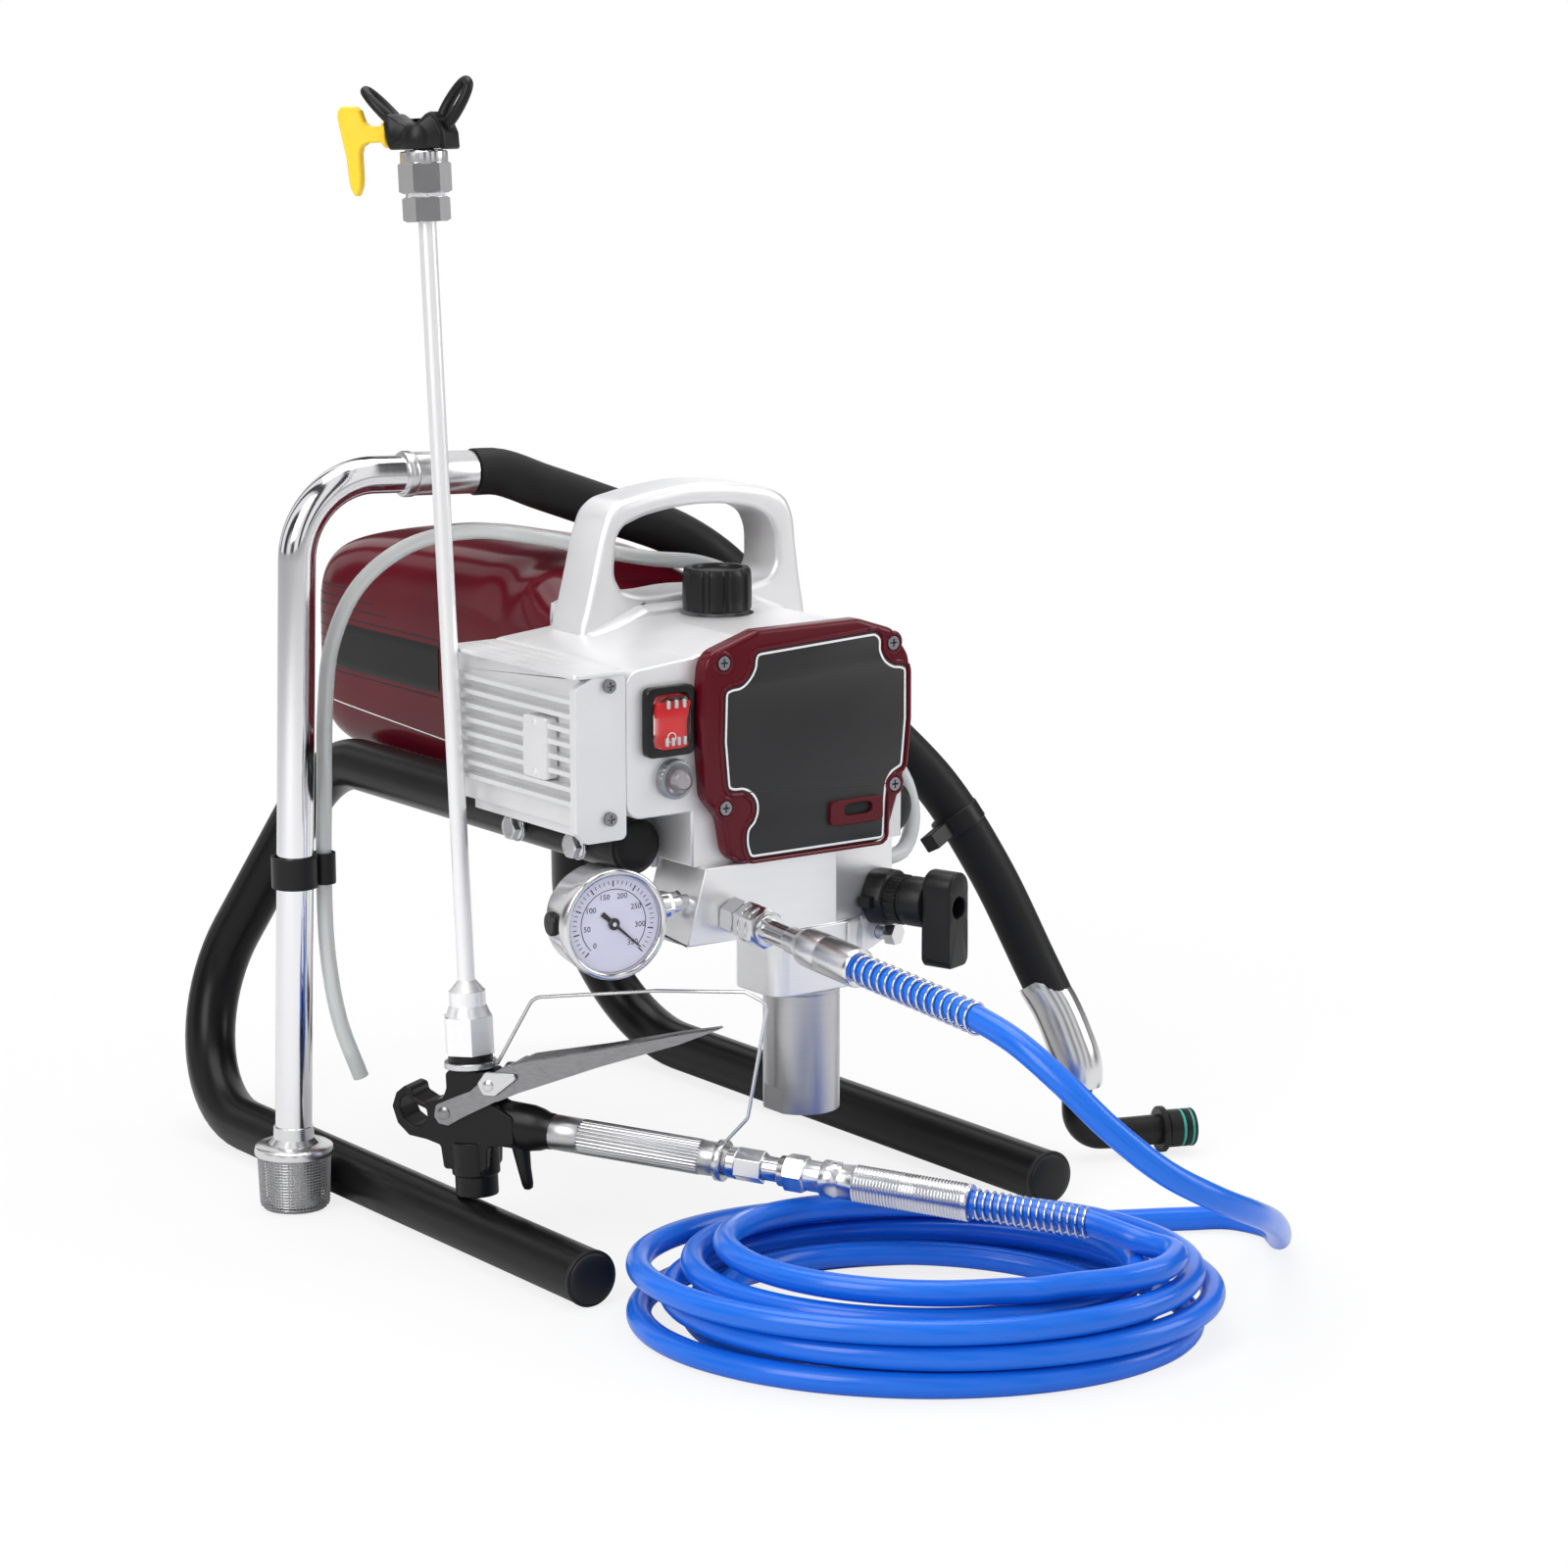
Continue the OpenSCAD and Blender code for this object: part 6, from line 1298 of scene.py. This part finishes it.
guard_path = eased([[17, 0, 33.2], [42, 0, 73], [120, 0, 79.5], [174, 0, 80.5], [187, 0, 74],
                    [172, 0, 8], [157.6, 0, -6.4]], [0, 10, 20, 6, 6, 6, 0], 8)
dress(shells("trigger_guard_wire", [
    in_gun(tube_grid(guard_path, 1.05, 14, (0, 1, 0))),
    lathe([[9.95, 154], [11.6, 154], [11.9, 154.4], [11.9, 158.4], [11.6, 158.8], [9.95, 158.8]],
          grip, 64),
    lathe([[13.2, 31], [15, 31], [15.4, 31.4], [15.4, 34.4], [15, 34.8], [13.2, 34.8]], gun, 64)],
    40), zinc, replaces=["trigger_guard"])


def loop(base, tip, across, wide, bar):
    """A closed oval bar from a base to a tip: c + L cos t d + W sin t e, tapering to its tip."""
    base, tip = np.array(base, float), np.array(tip, float)
    d = unit(tip - base)
    e = unit(np.array(across, float))
    half = np.linalg.norm(tip - base) / 2
    t = np.linspace(0, 2 * np.pi, 65)
    path = ((base + tip) / 2 + half * np.cos(t)[:, None] * d
            + (wide * np.sign(np.sin(t)) * np.abs(np.sin(t)) ** 0.8)[:, None] * e)
    return in_gun(tube_grid(path, bar * (0.92 - 0.12 * np.cos(t)), 14, np.cross(d, e)))


saddle = eased([[-17, 556.4], [14, 556.4], [16.5, 555.4], [18.4, 556], [18, 565], [15, 572],
                [10.5, 577.2], [6.5, 575.6], [1, 571.2], [-5, 570.2], [-10, 572.6], [-14, 575.6],
                [-17, 577], [-20, 571], [-18.6, 563]], 2, 4, closed=True)
dress(shells("tip_guard_moulding", [
    in_gun(layers(saddle, [(2.2, -11), (0.7, -10.2), (0, -8.5), (0, 8.5), (0.7, 10.2),
                           (2.2, 11)])),
    lathe([[0, 534], [5.9, 534], [5.9, 557], [13, 556.4], [13.6, 557], [13.6, 566], [12, 569.4],
           [8, 570.8], [0, 571]], gun),
    loop([-15, 0, 570.5], [-34.2, 0, 590.2], (0, 1, 0), 5.4, 3.3),
    loop([12.5, 0, 569.5], [29.5, 0, 592.5], (0.62, -0.62, -0.45), 6.6, 3.4)], 45),
    black_nylon, "tip_guard", ["tip_guard"])
tip_z = 565.3
flag = np.array([[-52, 10.4], [-51.6, 14.2], [-49, 16.8], [-41, 16.4], [-37.8, 14], [-35.6, 7.5],
                 [-33.4, 5.4], [-30, 4.8], [-24, 4.6], [-24, -4.2], [-34.4, -4.4], [-37.6, -6.4],
                 [-38.8, -10], [-38.8, -24.6], [-39.4, -28.6], [-42.4, -35.8], [-45.8, -29.6],
                 [-46.8, -24.6], [-47.6, -12.6], [-49.8, -1.6]]) + np.array([0, tip_z])
tip_axis = gun @ shift(0, 0, tip_z) @ turn("Y", 90)
dress(shells("tip_union_nuts", [
    lathe([[5.4, 548], [13.3, 548], [13.5, 549.6], [13.5, 554.6], [13, 555.2], [5.4, 555.2]], gun),
    nut(26, 531.6, 549.4, gun, bore=5.4), nut(23.4, 515.8, 530, gun, bore=5.4),
    lathe([[5.4, 529], [11, 529], [11, 532.4], [5.4, 532.4]], gun)], 30), chrome)
dress(shells("spray_tip_flag", [
    plate(eased(flag, 1.6, 4, closed=True), -3, 3, 0.9),
    lathe([[0, -26], [4.7, -26], [5.4, -23.6], [7.4, -23.2], [7.7, -22.6], [7.7, -20.8],
           [7.2, -20.2], [4.9, -20], [4.9, 11.8], [0, 12]], tip_axis)], 35),
    yellow, "spray_tip", ["spray_tip"])

# ---- Inner parts --------------------------------------------------------------------------
# The motor, the gears, the crank, the rod, the ball and the circuit board stay the packed
# solids: they are closed in, and show only when a cover is taken off.

board_face = material("green circuit board", (0.012, 0.13, 0.05), 0.4, vary=0.25, cloud=420,
                      spread=0.2, grain=1500, depth=0.00002)
winding = material("lacquered copper winding", (0.42, 0.17, 0.06), 0.32, 0.8, vary=0.2,
                   cloud=200, spread=0.2, grain=900, depth=0.00004, stretch=(1, 0.1, 1))
gear_steel = material("ground gear steel", (0.5, 0.5, 0.52), 0.3, 1.0, vary=0.08, cloud=120,
                      spread=0.14, grain=900, depth=0.000012)
for source, finish in (("circuit_board", board_face), ("motor_can", gear_steel),
                       ("motor_rotor", winding), ("motor_fan", black_nylon),
                       ("pinion_gear", gear_steel), ("drive_gear", gear_steel),
                       ("crankshaft", gear_steel), ("piston_rod", stainless),
                       ("inlet_ball", chrome)):
    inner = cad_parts[source]
    inner.data.materials.clear()
    inner.data.materials.append(finish)

# ---- Floor, light and world ---------------------------------------------------------------
# A plain pale floor under soft lamps, white to the lens away from the object's shadow.
# Lamps and world are at a plain level, at which a colour shows about as it is written.


def floor_material():
    """Diffuse floor that shows the lens a mix of white light and its own shaded surface."""
    made = bpy.data.materials.new("pale floor")
    made.use_nodes = True
    tree = made.node_tree
    tree.nodes.remove(tree.nodes["Principled BSDF"])
    out = tree.nodes["Material Output"]
    rays = node(tree, "ShaderNodeLightPath")
    places = node(tree, "ShaderNodeTexCoord")
    away = node(tree, "ShaderNodeVectorMath", {0: places.outputs["Object"]}, operation="LENGTH")
    fade = node(tree, "ShaderNodeMapRange", {"Value": away.outputs["Value"], "From Min": 0.35,
                "From Max": 1.1, "To Min": 0.82, "To Max": 1.0}, interpolation_type="SMOOTHSTEP")
    seen_by = node(tree, "ShaderNodeMath", {0: rays.outputs["Is Camera Ray"],
                   1: rays.outputs["Is Transmission Ray"]}, operation="MAXIMUM")
    shown = node(tree, "ShaderNodeMath", {0: seen_by.outputs[0], 1: fade.outputs["Result"]},
                 operation="MULTIPLY")
    surface = node(tree, "ShaderNodeBsdfDiffuse", {"Color": (0.8, 0.8, 0.8, 1)})
    glow = node(tree, "ShaderNodeEmission", {"Color": (1, 1, 1, 1), "Strength": 1.0})
    blend = node(tree, "ShaderNodeMixShader", {0: shown.outputs[0], 1: surface.outputs[0],
                 2: glow.outputs[0]})
    tree.links.new(blend.outputs[0], out.inputs["Surface"])
    return made


ground = bpy.data.meshes.new("floor")
floor_half, floor_z = 30, -0.0002
ground.from_pydata([(floor_half * i, floor_half * j, floor_z) for i, j in corner_signs], [],
                   [(0, 1, 2, 3)])
ground.materials.append(floor_material())
floor = bpy.data.objects.new("floor", ground)
bpy.context.scene.collection.objects.link(floor)


def lamp(name, place, target, size, power):
    """A soft square lamp turned towards a point."""
    data = bpy.data.lights.new(name, "AREA")
    data.shape, data.size, data.size_y = "RECTANGLE", size[0], size[1]
    data.energy = power
    made = bpy.data.objects.new(name, data)
    made.location = place
    made.rotation_euler = (Vector(target) - Vector(place)).to_track_quat("-Z", "Y").to_euler()
    bpy.context.scene.collection.objects.link(made)
    return made


lamps = [lamp("lamp_left", (-1.9, -0.7, 1.5), (0, 0, 0.25), (1.0, 1.6), 26),
         lamp("lamp_right", (1.7, -1.3, 1.3), (0, 0, 0.25), (0.9, 1.5), 15),
         lamp("lamp_top", (0.1, 0.3, 2.4), (0, 0, 0.2), (1.8, 1.8), 30)]

world = bpy.data.worlds.new("studio")
bpy.context.scene.world = world
world.use_nodes = True
sky = world.node_tree
back = sky.nodes["Background"]
rays = node(sky, "ShaderNodeLightPath")
seen = node(sky, "ShaderNodeMath", {0: rays.outputs["Is Camera Ray"],
            1: rays.outputs["Is Transmission Ray"]}, operation="MAXIMUM")
places = node(sky, "ShaderNodeTexCoord")
bands = node(sky, "ShaderNodeTexWave", {"Vector": places.outputs["Generated"], "Scale": 0.7,
             "Distortion": 1.2, "Detail": 1.0}, wave_type="BANDS", bands_direction="X")
ramp = node(sky, "ShaderNodeValToRGB", {"Fac": bands.outputs["Fac"]})
ramp.color_ramp.elements[0].position, ramp.color_ramp.elements[1].position = 0.14, 0.5
ramp.color_ramp.elements[0].color = (0.05, 0.05, 0.055, 1)
ramp.color_ramp.elements[1].color = (0.95, 0.95, 0.95, 1)
soft = node(sky, "ShaderNodeMixRGB", {"Fac": rays.outputs["Is Glossy Ray"],
            "Color1": (0.55, 0.55, 0.55, 1), "Color2": ramp.outputs["Color"]})
final = node(sky, "ShaderNodeMixRGB", {"Fac": seen.outputs[0], "Color1": soft.outputs[0],
             "Color2": (1, 1, 1, 1)})
sky.links.new(final.outputs[0], back.inputs["Color"])
bpy.context.scene.view_settings.view_transform = "Standard"
